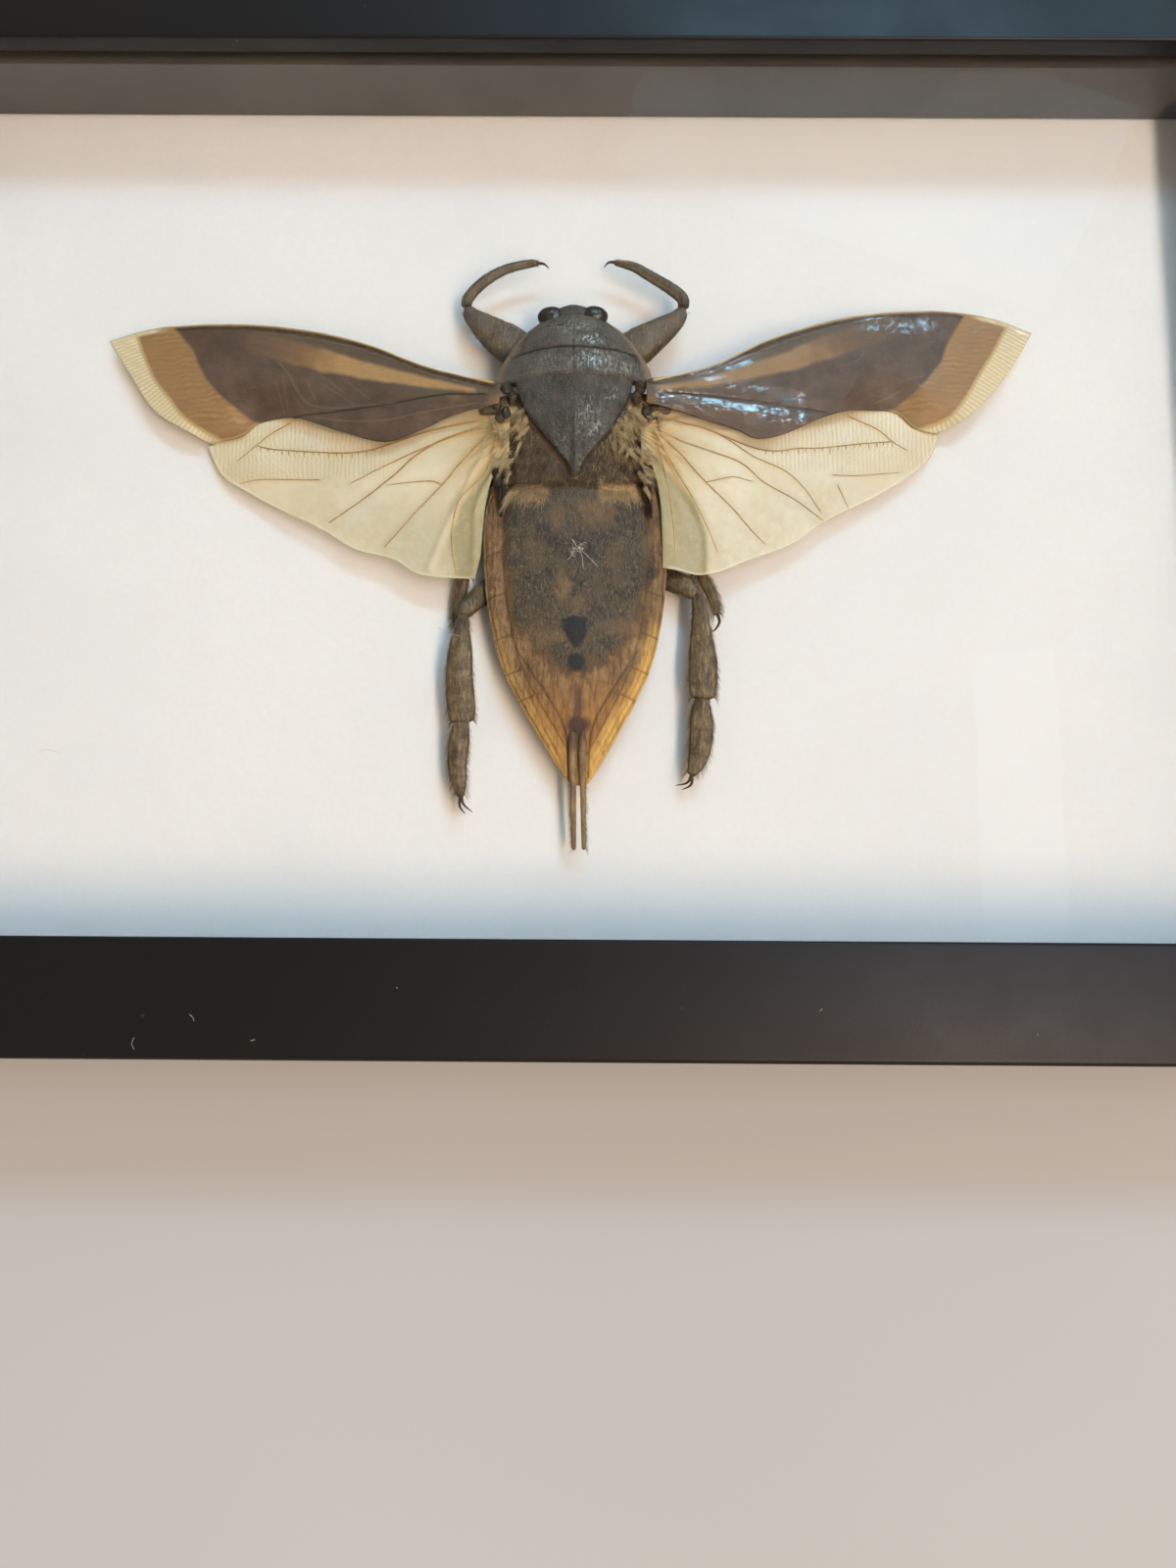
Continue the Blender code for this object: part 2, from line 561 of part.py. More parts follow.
def make_thorax(material, parent):
    rings = [rounded_ring(*station) for station in THORAX_STATIONS]
    return make_body_loft("bug_thorax", rings, material, parent)


def shield_ring(half_width, columns, shape, underside):
    """Upper points from right to left over a shield, then lower points back, at y and height by shape."""
    upper = []
    for step in range(columns):
        across = 1 - 2 * step / (columns - 1)
        x = across * half_width
        y, height = shape(x, across)
        upper.append((x, y, height))
    return upper + [(x, y, underside) for x, y, height in reversed(upper)]


def make_pronotum(material, parent):
    """The domed shield behind the head, with a cross groove a third of the way back."""
    rings = []
    front = PRONOTUM_ROWS[0]
    length = front - PRONOTUM_ROWS[-1]
    for row in PRONOTUM_ROWS:
        half_width = interpolate(PRONOTUM_HALF_WIDTHS, row)
        back = (front - row) / length
        rise = math.sin(back * math.pi / 2)
        crown = PRONOTUM_FRONT_CROWN + (PRONOTUM_REAR_CROWN - PRONOTUM_FRONT_CROWN) * rise
        groove = PRONOTUM_GROOVE_DEPTH if row == PRONOTUM_GROOVE_ROW else 0.0

        def shape(x, across):
            front_shift = PRONOTUM_FRONT_BULGE * math.exp(-(x / 2.6) ** 2) * (1 - back) ** 3
            rear_shift = (PRONOTUM_REAR_BULGE - PRONOTUM_REAR_CURVE * across ** 2) * back ** 3
            arch = 1 - abs(across) ** 2.4
            return row + front_shift + rear_shift, PRONOTUM_RIM_HEIGHT + (crown - groove) * arch

        rings.append(shield_ring(half_width, 13, shape, PRONOTUM_UNDERSIDE))
    return make_body_loft("bug_pronotum", rings, material, parent, split_caps=True)


def make_scutellum(material, parent):
    """The pointed shield between the wings, with a low keel along its middle."""
    rings = []
    front = SCUTELLUM_ROWS[0]
    length = front - SCUTELLUM_ROWS[-1]
    for row in SCUTELLUM_ROWS:
        half_width = interpolate(SCUTELLUM_HALF_WIDTHS, row)
        back = (front - row) / length

        def shape(x, across):
            bulge = (1 - across ** 2) * (1 - back) ** 4
            keel = SCUTELLUM_KEEL * back * (1 - abs(across)) ** 3
            dome = SCUTELLUM_DOME * (1 - 0.875 * back) * (1 - across ** 2)
            return row + bulge, SCUTELLUM_RIM_HEIGHT - 0.35 * back + dome + keel

        rings.append(shield_ring(half_width, 9, shape, SCUTELLUM_UNDERSIDE))
    return make_body_loft("bug_scutellum", rings, material, parent, split_caps=True)


def make_abdomen(material, parent):
    """A flat boat shape: a raised middle between two flat side bands, keeled underneath."""
    top_profile = [(1.0, 4.3), (0.9, 4.75), (0.82, 4.85), (0.79, 4.65), (0.72, 5.2), (0.5, 5.75),
                   (0.25, 6.1), (0.0, 6.2)]
    top_profile += [(-across, height) for across, height in reversed(top_profile[:-1])]
    rings = []
    stations = (1.3, -0.2, -1.9, -5, -9, -13, -17, -20.5, -23.8, -26.6, -29.4, -32, -34.5, -36.8, -38.7,
                -40.1, -41)
    for y in stations:
        half_width = interpolate(ABDOMEN_HALF_WIDTHS, y)
        fullness = (half_width / ABDOMEN_WIDEST) ** 0.8
        shift = ABDOMEN_SHIFT * fullness
        ring = []
        for across, height in top_profile:
            level = ABDOMEN_TOP_LEVEL + (height - ABDOMEN_TOP_LEVEL) * fullness
            ring.append((shift + across * half_width, y, level))
        for across in (-1.0, -0.75, -0.4, 0.0, 0.4, 0.75, 1.0):
            underside = ABDOMEN_KEEL_BOTTOM + (ABDOMEN_RIM_BOTTOM - ABDOMEN_KEEL_BOTTOM) * abs(across) ** 1.6
            level = ABDOMEN_UNDER_LEVEL + (underside - ABDOMEN_UNDER_LEVEL) * fullness
            ring.append((shift + across * half_width, y, level))
        rings.append(ring)
    abdomen = make_body_loft("bug_abdomen", rings, material, parent)
    for name, side in (("left", -1), ("right", 1)):
        x = side * ABDOMEN_CORNER_X + ABDOMEN_SHIFT
        knob = add_object(f"abdomen_corner_{name}",
                          tube_mesh([(x, 0.4, 4.3, 1.8, 1.2), (x, 1.9, 4.7, 1.5, 1.3),
                                     (x + side * 0.1, 3.1, 5.0, 0.9, 0.9)], sides=7),
                          parent=parent)
        add_boolean(abdomen, knob, "UNION")
    return abdomen


def make_head(material, parent):
    """A short broad head with an eye on each side and a stout beak folded underneath."""
    rings = [rounded_ring(26.25, 3.4, 4.2, 5.6, 6.9), rounded_ring(26.7, 3.2, 4.3, 5.6, 6.9),
             rounded_ring(27.2, 1.9, 4.5, 5.5, 6.6), rounded_ring(27.6, 0.9, 4.8, 5.4, 6.2),
             rounded_ring(27.85, 0.3, 5.1, 5.4, 5.8)]
    head = make_body_loft("bug_head", rings, material, parent)
    for name, side in (("left", -1), ("right", 1)):
        bm = bmesh.new()
        bmesh.ops.create_uvsphere(bm, u_segments=12, v_segments=8, radius=1.0)
        bmesh.ops.scale(bm, vec=EYE_RADII, verts=bm.verts)
        bmesh.ops.translate(bm, vec=(side * EYE_CENTRE[0], *EYE_CENTRE[1:]), verts=bm.verts)
        eye = add_object(f"eye_{name}", bm, parent=parent)
        add_boolean(head, eye, "UNION")
    beak = add_object("beak", tube_mesh([(0, 26.9, 5.0, 1.6, 1.6), (0, 26.6, 3.4, 1.2, 1.2),
                                         (0, 25.9, 1.6, 0.5, 0.5)]), parent=parent)
    add_boolean(head, beak, "UNION")
    return head


def make_leg(name, leg, material, parent):
    """Femur, tibia and foot joined in one limb, as they grew."""
    limb = add_object(name, tube_mesh(leg["femur"]), material, parent, sharp_angle=60)
    for segment in ("tibia", "tarsus"):
        if segment in leg:
            helper = add_object(f"{name}_{segment}", tube_mesh(leg[segment]), parent=parent)
            add_boolean(limb, helper, "UNION")
    for number, claw in enumerate(leg["claws"], 1):
        widths = [0.45 - 0.3 * index / (len(claw) - 1) for index in range(len(claw))]
        stations = [(*place, width, width) for place, width in zip(claw, widths)]
        helper = add_object(f"{name}_claw_{number}", tube_mesh(stations, sides=5), parent=parent)
        add_boolean(limb, helper, "UNION")
    return limb


def make_air_strap(name, centre, material, parent):
    """One half of the breathing tube that ends past the tail."""
    stations = [(centre, y, height, width, STRAP_THICKNESS) for y, height, width in STRAP_STATIONS]
    return add_object(name, tube_mesh(stations), material, parent, sharp_angle=60)


def make_bug(skin, belly, leg_material, forewing_material, hindwing_material):
    bug = bpy.data.objects.new("bug", None)
    bpy.context.scene.collection.objects.link(bug)
    bug.location = (BUG_OFFSET[0] * MM, BUG_OFFSET[1] * MM, BOARD_TOP * MM)
    bug.rotation_euler.z = BUG_TURN
    make_head(skin, bug)
    make_pronotum(skin, bug)
    make_scutellum(skin, bug)
    make_thorax(skin, bug)
    make_abdomen(belly, bug)
    wings = {"left": (FOREWING_LEFT, HINDWING_LEFT), "right": (FOREWING_RIGHT, HINDWING_RIGHT)}
    for side, (fore, hind) in wings.items():
        make_wing(f"bug_forewing_{side}", fore, forewing_height, forewing_material, bug, 20, 8)
        make_wing(f"bug_hindwing_{side}", hind, hindwing_height, hindwing_material, bug, 12, 20)
        make_air_strap(f"bug_air_strap_{side}", STRAP_CENTRES[side], leg_material, bug)
    legs = {
        "bug_foreleg_left": FORELEG_LEFT,
        "bug_foreleg_right": FORELEG_RIGHT,
        "bug_midleg_left": MIDLEG_LEFT,
        "bug_midleg_right": MIDLEG_RIGHT,
        "bug_hindleg_left": HINDLEG_LEFT,
        "bug_hindleg_right": HINDLEG_RIGHT,
    }
    for name, leg in legs.items():
        make_leg(name, leg, leg_material, bug)


def main():
    clear_scene()
    make_frame(
        black=make_material("black_lacquer", (0.028, 0.028, 0.03), 0.35),
        panel_material=make_material("fibreboard", (0.30, 0.20, 0.12), 0.8),
        board_material=make_material("white_board", (0.80, 0.79, 0.76), 0.85),
        glass_material=make_material("clear_glass", (1.0, 1.0, 1.0), 0.02, transmission=1.0),
        metal=make_material("zinc_steel", (0.55, 0.55, 0.54), 0.35, metallic=1.0),
    )
    make_bug(
        skin=make_material("dark_cuticle", (0.045, 0.038, 0.032), 0.4),
        belly=make_material("amber_cuticle", (0.14, 0.085, 0.04), 0.45),
        leg_material=make_material("leg_cuticle", (0.10, 0.075, 0.05), 0.5),
        forewing_material=make_material("brown_wing", (0.10, 0.065, 0.04), 0.4),
        hindwing_material=make_material("clear_wing", (0.62, 0.55, 0.36), 0.35, alpha=0.7),
    )


main()
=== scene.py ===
import math
import bmesh
import bpy
import numpy as np
from mathutils import Matrix, Vector, kdtree, noise


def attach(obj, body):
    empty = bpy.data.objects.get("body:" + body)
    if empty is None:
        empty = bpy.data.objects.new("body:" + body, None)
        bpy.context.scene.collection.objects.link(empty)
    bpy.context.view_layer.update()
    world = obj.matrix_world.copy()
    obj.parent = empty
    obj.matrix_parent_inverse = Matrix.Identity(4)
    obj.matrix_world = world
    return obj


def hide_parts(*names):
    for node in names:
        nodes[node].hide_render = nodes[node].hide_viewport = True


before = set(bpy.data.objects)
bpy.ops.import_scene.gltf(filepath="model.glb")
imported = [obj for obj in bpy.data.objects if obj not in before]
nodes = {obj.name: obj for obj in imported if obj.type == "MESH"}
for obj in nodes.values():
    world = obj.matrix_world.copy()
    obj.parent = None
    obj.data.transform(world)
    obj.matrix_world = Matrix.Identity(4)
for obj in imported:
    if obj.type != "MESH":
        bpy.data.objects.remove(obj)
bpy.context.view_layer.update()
print("frame loaded:", len(nodes), "nodes")

# the bug's own millimetres to the frame's metres: +y to its head, z over the board
millimetres = Matrix.Scale(0.001, 4)
bugPlace = (Matrix.Translation((0.00086, 0.0, 0.009)) @ Matrix.Rotation(math.radians(1.15), 4, "Z")
            @ millimetres)


def paint(red, green, blue):
    return tuple((part / 255) ** 2.2 for part in (red, green, blue)) + (1.0,)


# lines, zones and noise over millimetre places

def smoothLine(points, count):
    points = np.array(points, float)
    padded = np.vstack([2 * points[0] - points[1], points, 2 * points[-1] - points[-2]])
    fine = [points[0]]
    for before, start, end, after in zip(padded, padded[1:], padded[2:], padded[3:]):
        for t in np.linspace(0, 1, 13)[1:]:
            fine.append(0.5 * (2 * start + (end - before) * t
                               + (2 * before - 5 * start + 4 * end - after) * t ** 2
                               + (3 * start - before - 3 * end + after) * t ** 3))
    fine = np.array(fine)
    steps = np.linalg.norm(np.diff(fine[:, :3], axis=0), axis=1)
    along = np.concatenate([[0], np.cumsum(steps)])
    wanted = np.linspace(0, along[-1], count)
    return np.stack([np.interp(wanted, along, fine[:, k]) for k in range(fine.shape[1])], axis=1)


def lineDistance(places, line, count=0):
    # distance to a line, the share of its length where the nearest point lies, and the side
    # with a count, the line is smoothed first
    line = smoothLine(line, count) if count else np.array(line, float)
    best = np.full(len(places), 1e9)
    share, side = np.zeros(len(places)), np.zeros(len(places))
    total = np.linalg.norm(np.diff(line, axis=0), axis=1).sum()
    walked = 0.0
    for start, end in zip(line, line[1:]):
        step = end - start
        length = np.linalg.norm(step)
        t = np.clip(((places - start) @ step) / length ** 2, 0, 1)
        offset = places - (start + t[:, None] * step)
        gap = np.linalg.norm(offset, axis=1)
        closer = gap < best
        best[closer] = gap[closer]
        share[closer] = (walked + t[closer] * length) / total
        side[closer] = np.sign(step[0] * offset[closer, 1] - step[1] * offset[closer, 0])
        walked += length
    return best, share, side


def beyondLine(places, line, inside):
    # signed distance to a line made longer at both ends, positive on the side of the inside point
    line = smoothLine(line, 30)
    line = np.vstack([line[0] + (line[0] - line[1]) * 20, line, line[-1] + (line[-1] - line[-2]) * 20])
    gap, share, side = lineDistance(places, line)
    return gap * side * lineDistance(np.array([inside], float), line)[2][0]


def insidePolygon(places, polygon):
    # signed distance to a polygon's edge, positive inside
    polygon = np.array(polygon, float)
    gap = lineDistance(places, np.vstack([polygon, polygon[:1]]))[0]
    inside = np.zeros(len(places), bool)
    for (x1, y1), (x2, y2) in zip(polygon, np.roll(polygon, -1, axis=0)):
        crosses = (y1 > places[:, 1]) != (y2 > places[:, 1])
        if y1 != y2:
            inside ^= crosses & (places[:, 0] < (x2 - x1) * (places[:, 1] - y1) / (y2 - y1) + x1)
    return np.where(inside, gap, -gap)


def ease(value, low, high):
    t = np.clip((value - low) / (high - low), 0, 1)
    return t * t * (3 - 2 * t)


def bell(value, width):
    return np.exp(-(value / width) ** 2)


def highest(*fields):
    return np.maximum.reduce(fields)


def stroke(places, line, widthStart, widthEnd, soft=0.12):
    # a mask along a line whose half width changes from its start to its end
    gap, share, side = lineDistance(places, line, 40)
    width = widthStart + (widthEnd - widthStart) * share
    return 1 - ease(gap, width - soft, width + soft)


def softSpots(x, y, spots):
    # spots given by place, half width, half length and strength
    return highest(np.zeros(len(x)), *(strength * np.exp(-((x - x0) / wide) ** 2 - ((y - y0) / long) ** 2)
                                       for x0, y0, wide, long, strength in spots))


def roughField(places, size, seed, octaves=3):
    # smooth noise of about -1 to 1 over places, with features of the given size
    shift = Vector((seed * 7.3, seed * 3.1, seed * 5.7))
    values = np.zeros(len(places))
    flat = places if places.shape[1] == 3 else np.column_stack([places, np.zeros(len(places))])
    for octave in range(octaves):
        scale = 2 ** octave / size
        part = [noise.noise(Vector(place) * scale + shift) for place in flat.tolist()]
        values += np.array(part) / 2 ** octave
    return values


def widthAt(table, y):
    fine = smoothLine(table[::-1], 200)
    return np.interp(y, fine[:, 0], fine[:, 1])


# meshes

def gridFaces(rows, columns, closed=False, first=0):
    faces = []
    for row in range(rows - 1):
        for column in range(columns if closed else columns - 1):
            following = (column + 1) % columns
            faces.append((first + row * columns + column, first + row * columns + following,
                          first + (row + 1) * columns + following, first + (row + 1) * columns + column))
    return faces


def closedRings(rows, columns):
    # faces of a tube of rings, with a cap at each end
    faces = gridFaces(rows, columns, closed=True)
    faces.append(tuple(range(columns)))
    faces.append(tuple((rows - 1) * columns + k for k in reversed(range(columns))))
    return faces


def joinParts(parts):
    # one mesh out of several pairs of places and faces
    faces = []
    first = 0
    for places, partFaces in parts:
        faces += [tuple(first + corner for corner in face) for face in partFaces]
        first += len(places)
    return np.vstack([places for places, partFaces in parts]), faces


def addPiece(name, mesh, material, replaced=None, masks=None, place=bugPlace, sharp=None):
    # a piece from a pair of places and faces; short masks are repeated, for a plate's underside
    places, faces = mesh
    mesh = bpy.data.meshes.new(name)
    mesh.from_pydata(np.asarray(places).tolist(), [], faces)
    mesh.transform(place)
    bm = bmesh.new()
    bm.from_mesh(mesh)
    bmesh.ops.recalc_face_normals(bm, faces=bm.faces)
    bm.to_mesh(mesh)
    bm.free()
    mesh.shade_smooth()
    if sharp:
        mesh.set_sharp_from_angle(angle=math.radians(sharp))
    for maskName, values in (masks or {}).items():
        layer = mesh.attributes.new(maskName, "FLOAT", "POINT")
        layer.data.foreach_set("value", np.resize(np.asarray(values, np.float32), len(places)))
    mesh.materials.append(material)
    piece = bpy.data.objects.new(name, mesh)
    bpy.context.scene.collection.objects.link(piece)
    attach(piece, "root")
    if replaced:
        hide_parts(replaced)


def plateMesh(top, rows, columns, thickness=0.0, underside=None):
    # a thin plate under a grid of places, closed all round, or a shell down to a flat underside
    bottom = top.copy()
    bottom[:, 2] = bottom[:, 2] - thickness if underside is None else underside
    count = rows * columns
    faces = gridFaces(rows, columns)
    faces += [tuple(reversed(face)) for face in gridFaces(rows, columns, first=count)]
    rim = [row * columns for row in range(rows)]
    rim += [(rows - 1) * columns + column for column in range(1, columns)]
    rim += [row * columns + columns - 1 for row in range(rows - 2, -1, -1)]
    rim += [column for column in range(columns - 2, 0, -1)]
    for corner, following in zip(rim, rim[1:] + rim[:1]):
        faces.append((corner, following, following + count, corner + count))
    return np.vstack([top, bottom]), faces


def limbMesh(stations, sides=24, spacing=0.3, rough=0.0, seed=1, blunt=0.6):
    # a limb along stations of x, y, z, width and thickness, with rounded ends
    stations = np.array(stations, float)
    length = np.linalg.norm(np.diff(stations[:, :3], axis=0), axis=1).sum()
    count = max(int(length / spacing), 6)
    line = smoothLine(stations, count)
    along = np.linspace(0, length, count)
    size = 1.0
    for walked, width in ((along, line[0, 3]), (length - along, line[-1, 3])):
        size = size * np.sqrt(np.clip(1 - (1 - np.clip(walked / (blunt * width + 1e-6), 0, 1)) ** 2, 0.02, 1))
    directions = np.gradient(line[:, :3], axis=0)
    directions /= np.linalg.norm(directions, axis=1)[:, None]
    across = np.cross(directions, (0.0, 0.0, 1.0))
    across /= np.linalg.norm(across, axis=1)[:, None]
    upward = np.cross(across, directions)
    angles = np.linspace(0, math.tau, sides, endpoint=False)
    places = np.vstack([line[k, :3] + across[k] * (np.cos(angles) * line[k, 3] / 2 * size[k])[:, None]
                        + upward[k] * (np.sin(angles) * line[k, 4] / 2 * size[k])[:, None]
                        for k in range(count)])
    if rough:
        centres = np.repeat(line[:, :3], sides, axis=0)
        places = centres + (places - centres) * (1 + rough * roughField(places, 0.8, seed, 2))[:, None]
    return places, closedRings(count, sides)


def hairMesh(roots, directions, lengths, radii, droop):
    # many three-sided hairs: each bends towards its droop and ends in a point
    directions = directions / np.linalg.norm(directions, axis=1)[:, None]
    side = np.cross(directions, (0.13, 0.27, 0.95))
    side /= np.linalg.norm(side, axis=1)[:, None]
    other = np.cross(directions, side)
    places = np.zeros((len(roots), 10, 3))
    for level, (share, thick) in enumerate(((0.0, 1.0), (0.35, 0.9), (0.7, 0.6))):
        centre = roots + directions * (lengths * share)[:, None] + droop * (lengths * share ** 2)[:, None]
        for corner in range(3):
            angle = corner * math.tau / 3
            places[:, level * 3 + corner] = centre + (side * math.cos(angle)
                                                      + other * math.sin(angle)) * (radii * thick)[:, None]
    places[:, 9] = roots + directions * lengths[:, None] + droop * lengths[:, None]
    pattern = [(0, 1, 4, 3), (1, 2, 5, 4), (2, 0, 3, 5), (3, 4, 7, 6), (4, 5, 8, 7), (5, 3, 6, 8),
               (6, 7, 9), (7, 8, 9), (8, 6, 9)]
    faces = [tuple(hair * 10 + corner for corner in face) for hair in range(len(roots)) for face in pattern]
    return places.reshape(-1, 3), faces


def pickOnGrid(sheet, weights, count):
    # random places on a grid surface, more of them where the weights are high
    top, rows, columns = sheet
    chance = np.clip(weights.reshape(rows, columns)[:-1, :-1].ravel(), 0, None)
    cells = random.choice(len(chance), size=count, p=chance / chance.sum())
    row, column = np.divmod(cells, columns - 1)
    u, v = random.random(count)[:, None], random.random(count)[:, None]
    grid = top.reshape(rows, columns, 3)
    a, b = grid[row, column], grid[row, column + 1]
    c, d = grid[row + 1, column], grid[row + 1, column + 1]
    return (a * (1 - v) + b * v) * (1 - u) + (c * (1 - v) + d * v) * u


def heightsOver(top):
    # a function that gives the height of a grid surface at x and y
    tree = kdtree.KDTree(len(top))
    for index, place in enumerate(top.tolist()):
        tree.insert((place[0], place[1], 0.0), index)
    tree.balance()

    def height(x, y):
        found = tree.find_n((x, y, 0.0), 3)
        weights = [1 / (gap + 0.02) for spot, index, gap in found]
        heights = [top[index][2] for spot, index, gap in found]
        return sum(w * h for w, h in zip(weights, heights)) / sum(weights)

    return height


# shader helpers

class Nodes:
    # short ways to lay nodes in a shader tree, over places in the object's millimetres
    # a value may be a number or socket, a mask's name, (value, weight) or (value, low, high, to low, to high)

    def __init__(self, tree, place=None):
        self.tree = tree
        self.place = self.stretched((1.0, 1.0, 1.0)) if place is None else place

    def feed(self, socket, value):
        if isinstance(value, bpy.types.NodeSocket):
            self.tree.links.new(value, socket)
        else:
            socket.default_value = value

    def stretched(self, stretch):
        # places stretched where a pattern runs lengthwise
        coordinates = self.tree.nodes.new("ShaderNodeTexCoord")
        mapping = self.tree.nodes.new("ShaderNodeMapping")
        self.tree.links.new(coordinates.outputs["Object"], mapping.inputs["Vector"])
        mapping.inputs["Scale"].default_value = tuple(1000.0 / part for part in stretch)
        return mapping.outputs["Vector"]

    def noise(self, scale, detail=4.0, roughness=0.55, stretch=None):
        node = self.tree.nodes.new("ShaderNodeTexNoise")
        place = self.stretched(stretch) if stretch else self.place
        for name, value in (("Vector", place), ("Scale", scale), ("Detail", detail), ("Roughness", roughness)):
            self.feed(node.inputs[name], value)
        return node.outputs[0]

    def cells(self, scale):
        node = self.tree.nodes.new("ShaderNodeTexVoronoi")
        self.feed(node.inputs["Vector"], self.place)
        self.feed(node.inputs["Scale"], scale)
        return node.outputs["Distance"]

    def value(self, source):
        if isinstance(source, str):
            node = self.tree.nodes.new("ShaderNodeAttribute")
            node.attribute_name = source
            return node.outputs["Fac"]
        if not isinstance(source, tuple):
            return source
        if len(source) == 2:
            return self.calculate("MULTIPLY", *source)
        node = self.tree.nodes.new("ShaderNodeMapRange")
        for socket, number in zip(node.inputs, (self.value(source[0]), *source[1:])):
            self.feed(socket, number)
        return node.outputs[0]

    def calculate(self, operation, first, second, clamp=False):
        node = self.tree.nodes.new("ShaderNodeMath")
        node.operation = operation
        node.use_clamp = clamp
        self.feed(node.inputs[0], self.value(first))
        self.feed(node.inputs[1], self.value(second))
        return node.outputs[0]

    def total(self, first, *others):
        for other in others:
            first = self.calculate("ADD", first, other)
        return first

    def layers(self, colour, *layers):
        # colours laid over each other, each with the value that shows where it lies
        for factor, over in layers:
            node = self.tree.nodes.new("ShaderNodeMix")
            node.data_type = "RGBA"
            self.feed(node.inputs[0], self.value(factor))
            for socket, part in ((node.inputs[6], colour), (node.inputs[7], over)):
                self.feed(socket, paint(*part) if isinstance(part, tuple) else part)
            colour = node.outputs[2]
        return colour

    def group(self, group, **values):
        node = self.tree.nodes.new("ShaderNodeGroup")
        node.node_tree = group
        self.feed(node.inputs["Place"], self.place)
        for name, value in values.items():
            self.feed(node.inputs[name], paint(*value) if isinstance(value, tuple) else value)
        return node.outputs


class Finish(Nodes):
    # a material, and what reaches its shader
    def __init__(self, name, roughness, specular):
        self.material = bpy.data.materials.new(name)
        self.material.use_nodes = True
        super().__init__(self.material.node_tree)
        self.shader = self.tree.nodes["Principled BSDF"]
        self.inputs = self.shader.inputs
        self.inputs["Roughness"].default_value = roughness
        self.inputs["Specular IOR Level"].default_value = specular

    def cover(self, colour, roughness, height=None, depth=0.1, strength=1.0):
        self.feed(self.inputs["Base Color"], colour)
        self.feed(self.inputs["Roughness"], self.value(roughness))
        if height:
            bump = self.tree.nodes.new("ShaderNodeBump")
            bump.inputs["Strength"].default_value = strength
            bump.inputs["Distance"].default_value = depth * 0.001
            self.tree.links.new(height, bump.inputs["Height"])
            self.tree.links.new(bump.outputs["Normal"], self.inputs["Normal"])
        return self.material


def newGroup(name, inputs, outputs):
    # a node group, its inside, and what goes in and out; its first input is the place
    group = bpy.data.node_groups.new(name, "ShaderNodeTree")
    group.interface.new_socket("Place", in_out="INPUT", socket_type="NodeSocketVector")
    for socketName, default in inputs.items():
        kind = "NodeSocketColor" if isinstance(default, tuple) else "NodeSocketFloat"
        group.interface.new_socket(socketName, in_out="INPUT", socket_type=kind).default_value = default
    for socketName, kind in outputs.items():
        group.interface.new_socket(socketName, in_out="OUTPUT", socket_type="NodeSocket" + kind)
    given = group.nodes.new("NodeGroupInput").outputs
    return group, Nodes(group, given["Place"]), given, group.nodes.new("NodeGroupOutput").inputs


def makeCuticleGrain():
    # two colours in soft patches with fine pits, for every hard plate of the insect
    group, inside, given, out = newGroup(
        "cuticleGrain",
        {"Colour": (0.1, 0.1, 0.1, 1), "Shade": (0.05, 0.05, 0.05, 1), "Patch": 0.4, "Grain": 3.0},
        {"Colour": "Color", "Roughness": "Float", "Height": "Float"})
    patches = inside.noise(given["Patch"], 5.0, 0.6)
    fine = inside.noise(given["Grain"], 3.0, 0.6)
    pits = inside.cells(inside.value((given["Grain"], 1.6)))
    share = (inside.total((patches, 0.65), (fine, 0.35)), 0.38, 0.62)
    inside.feed(out["Colour"], inside.layers(given["Colour"], (share, given["Shade"])))
    inside.feed(out["Roughness"], inside.value((fine, 0.3, 0.7, 0.33, 0.56)))
    inside.feed(out["Height"], inside.total((fine, 0.6), (pits, 0.5)))
    return group


def makeSpeckles():
    # small scattered spots, for dust and flecks
    group, inside, given, out = newGroup("speckles", {"Spread": 1.0, "Size": 0.1}, {"Mask": "Float"})
    cells = inside.cells(given["Spread"])
    chosen = inside.noise(inside.value((given["Spread"], 0.37)), 2.0)
    inside.feed(out["Mask"], inside.value(((cells, given["Size"], 0.0), (chosen, 0.55, 0.68))))
    return group


def makeTwoTone(name, specular, scale, detail, light, dark, smooth, dull):
    # a plain finish for small things: two tones in soft patches, a little duller in places
    finish = Finish(name, dull, specular)
    tone = finish.noise(scale, detail)
    return finish.cover(finish.layers(light, ((tone, 0.35, 0.65), dark)), (tone, 0.3, 0.7, smooth, dull))


def dressNode(name, material):
    for slot in nodes[name].material_slots:
        slot.material = material


cuticleGrain = makeCuticleGrain()
speckles = makeSpeckles()
random = np.random.default_rng(7)                       # for every hair and fibre
tickRandom = np.random.default_rng(21)                  # for the ticks on the wing veins
print("helpers ready")

# camera, at the photo's angle

camera = {"place": (0.0034, -0.0637, 0.172), "turn": (8.18, 0.14, 0.39), "lens": 27.05}


def setUp(name, data, settings):
    thing = bpy.data.objects.new(name, data)
    thing.location = settings["place"]
    thing.rotation_euler = [math.radians(part) for part in settings["turn"]]
    bpy.context.scene.collection.objects.link(thing)
    return thing


view = bpy.data.cameras.new("camera")
view.lens = camera["lens"]
view.sensor_width = 36.0
view.clip_start = 0.005
bpy.context.scene.camera = setUp("camera", view, camera)

# a blue window at the upper right, a long narrow lamp at the right that is warm at its near end, and
# soft light all round

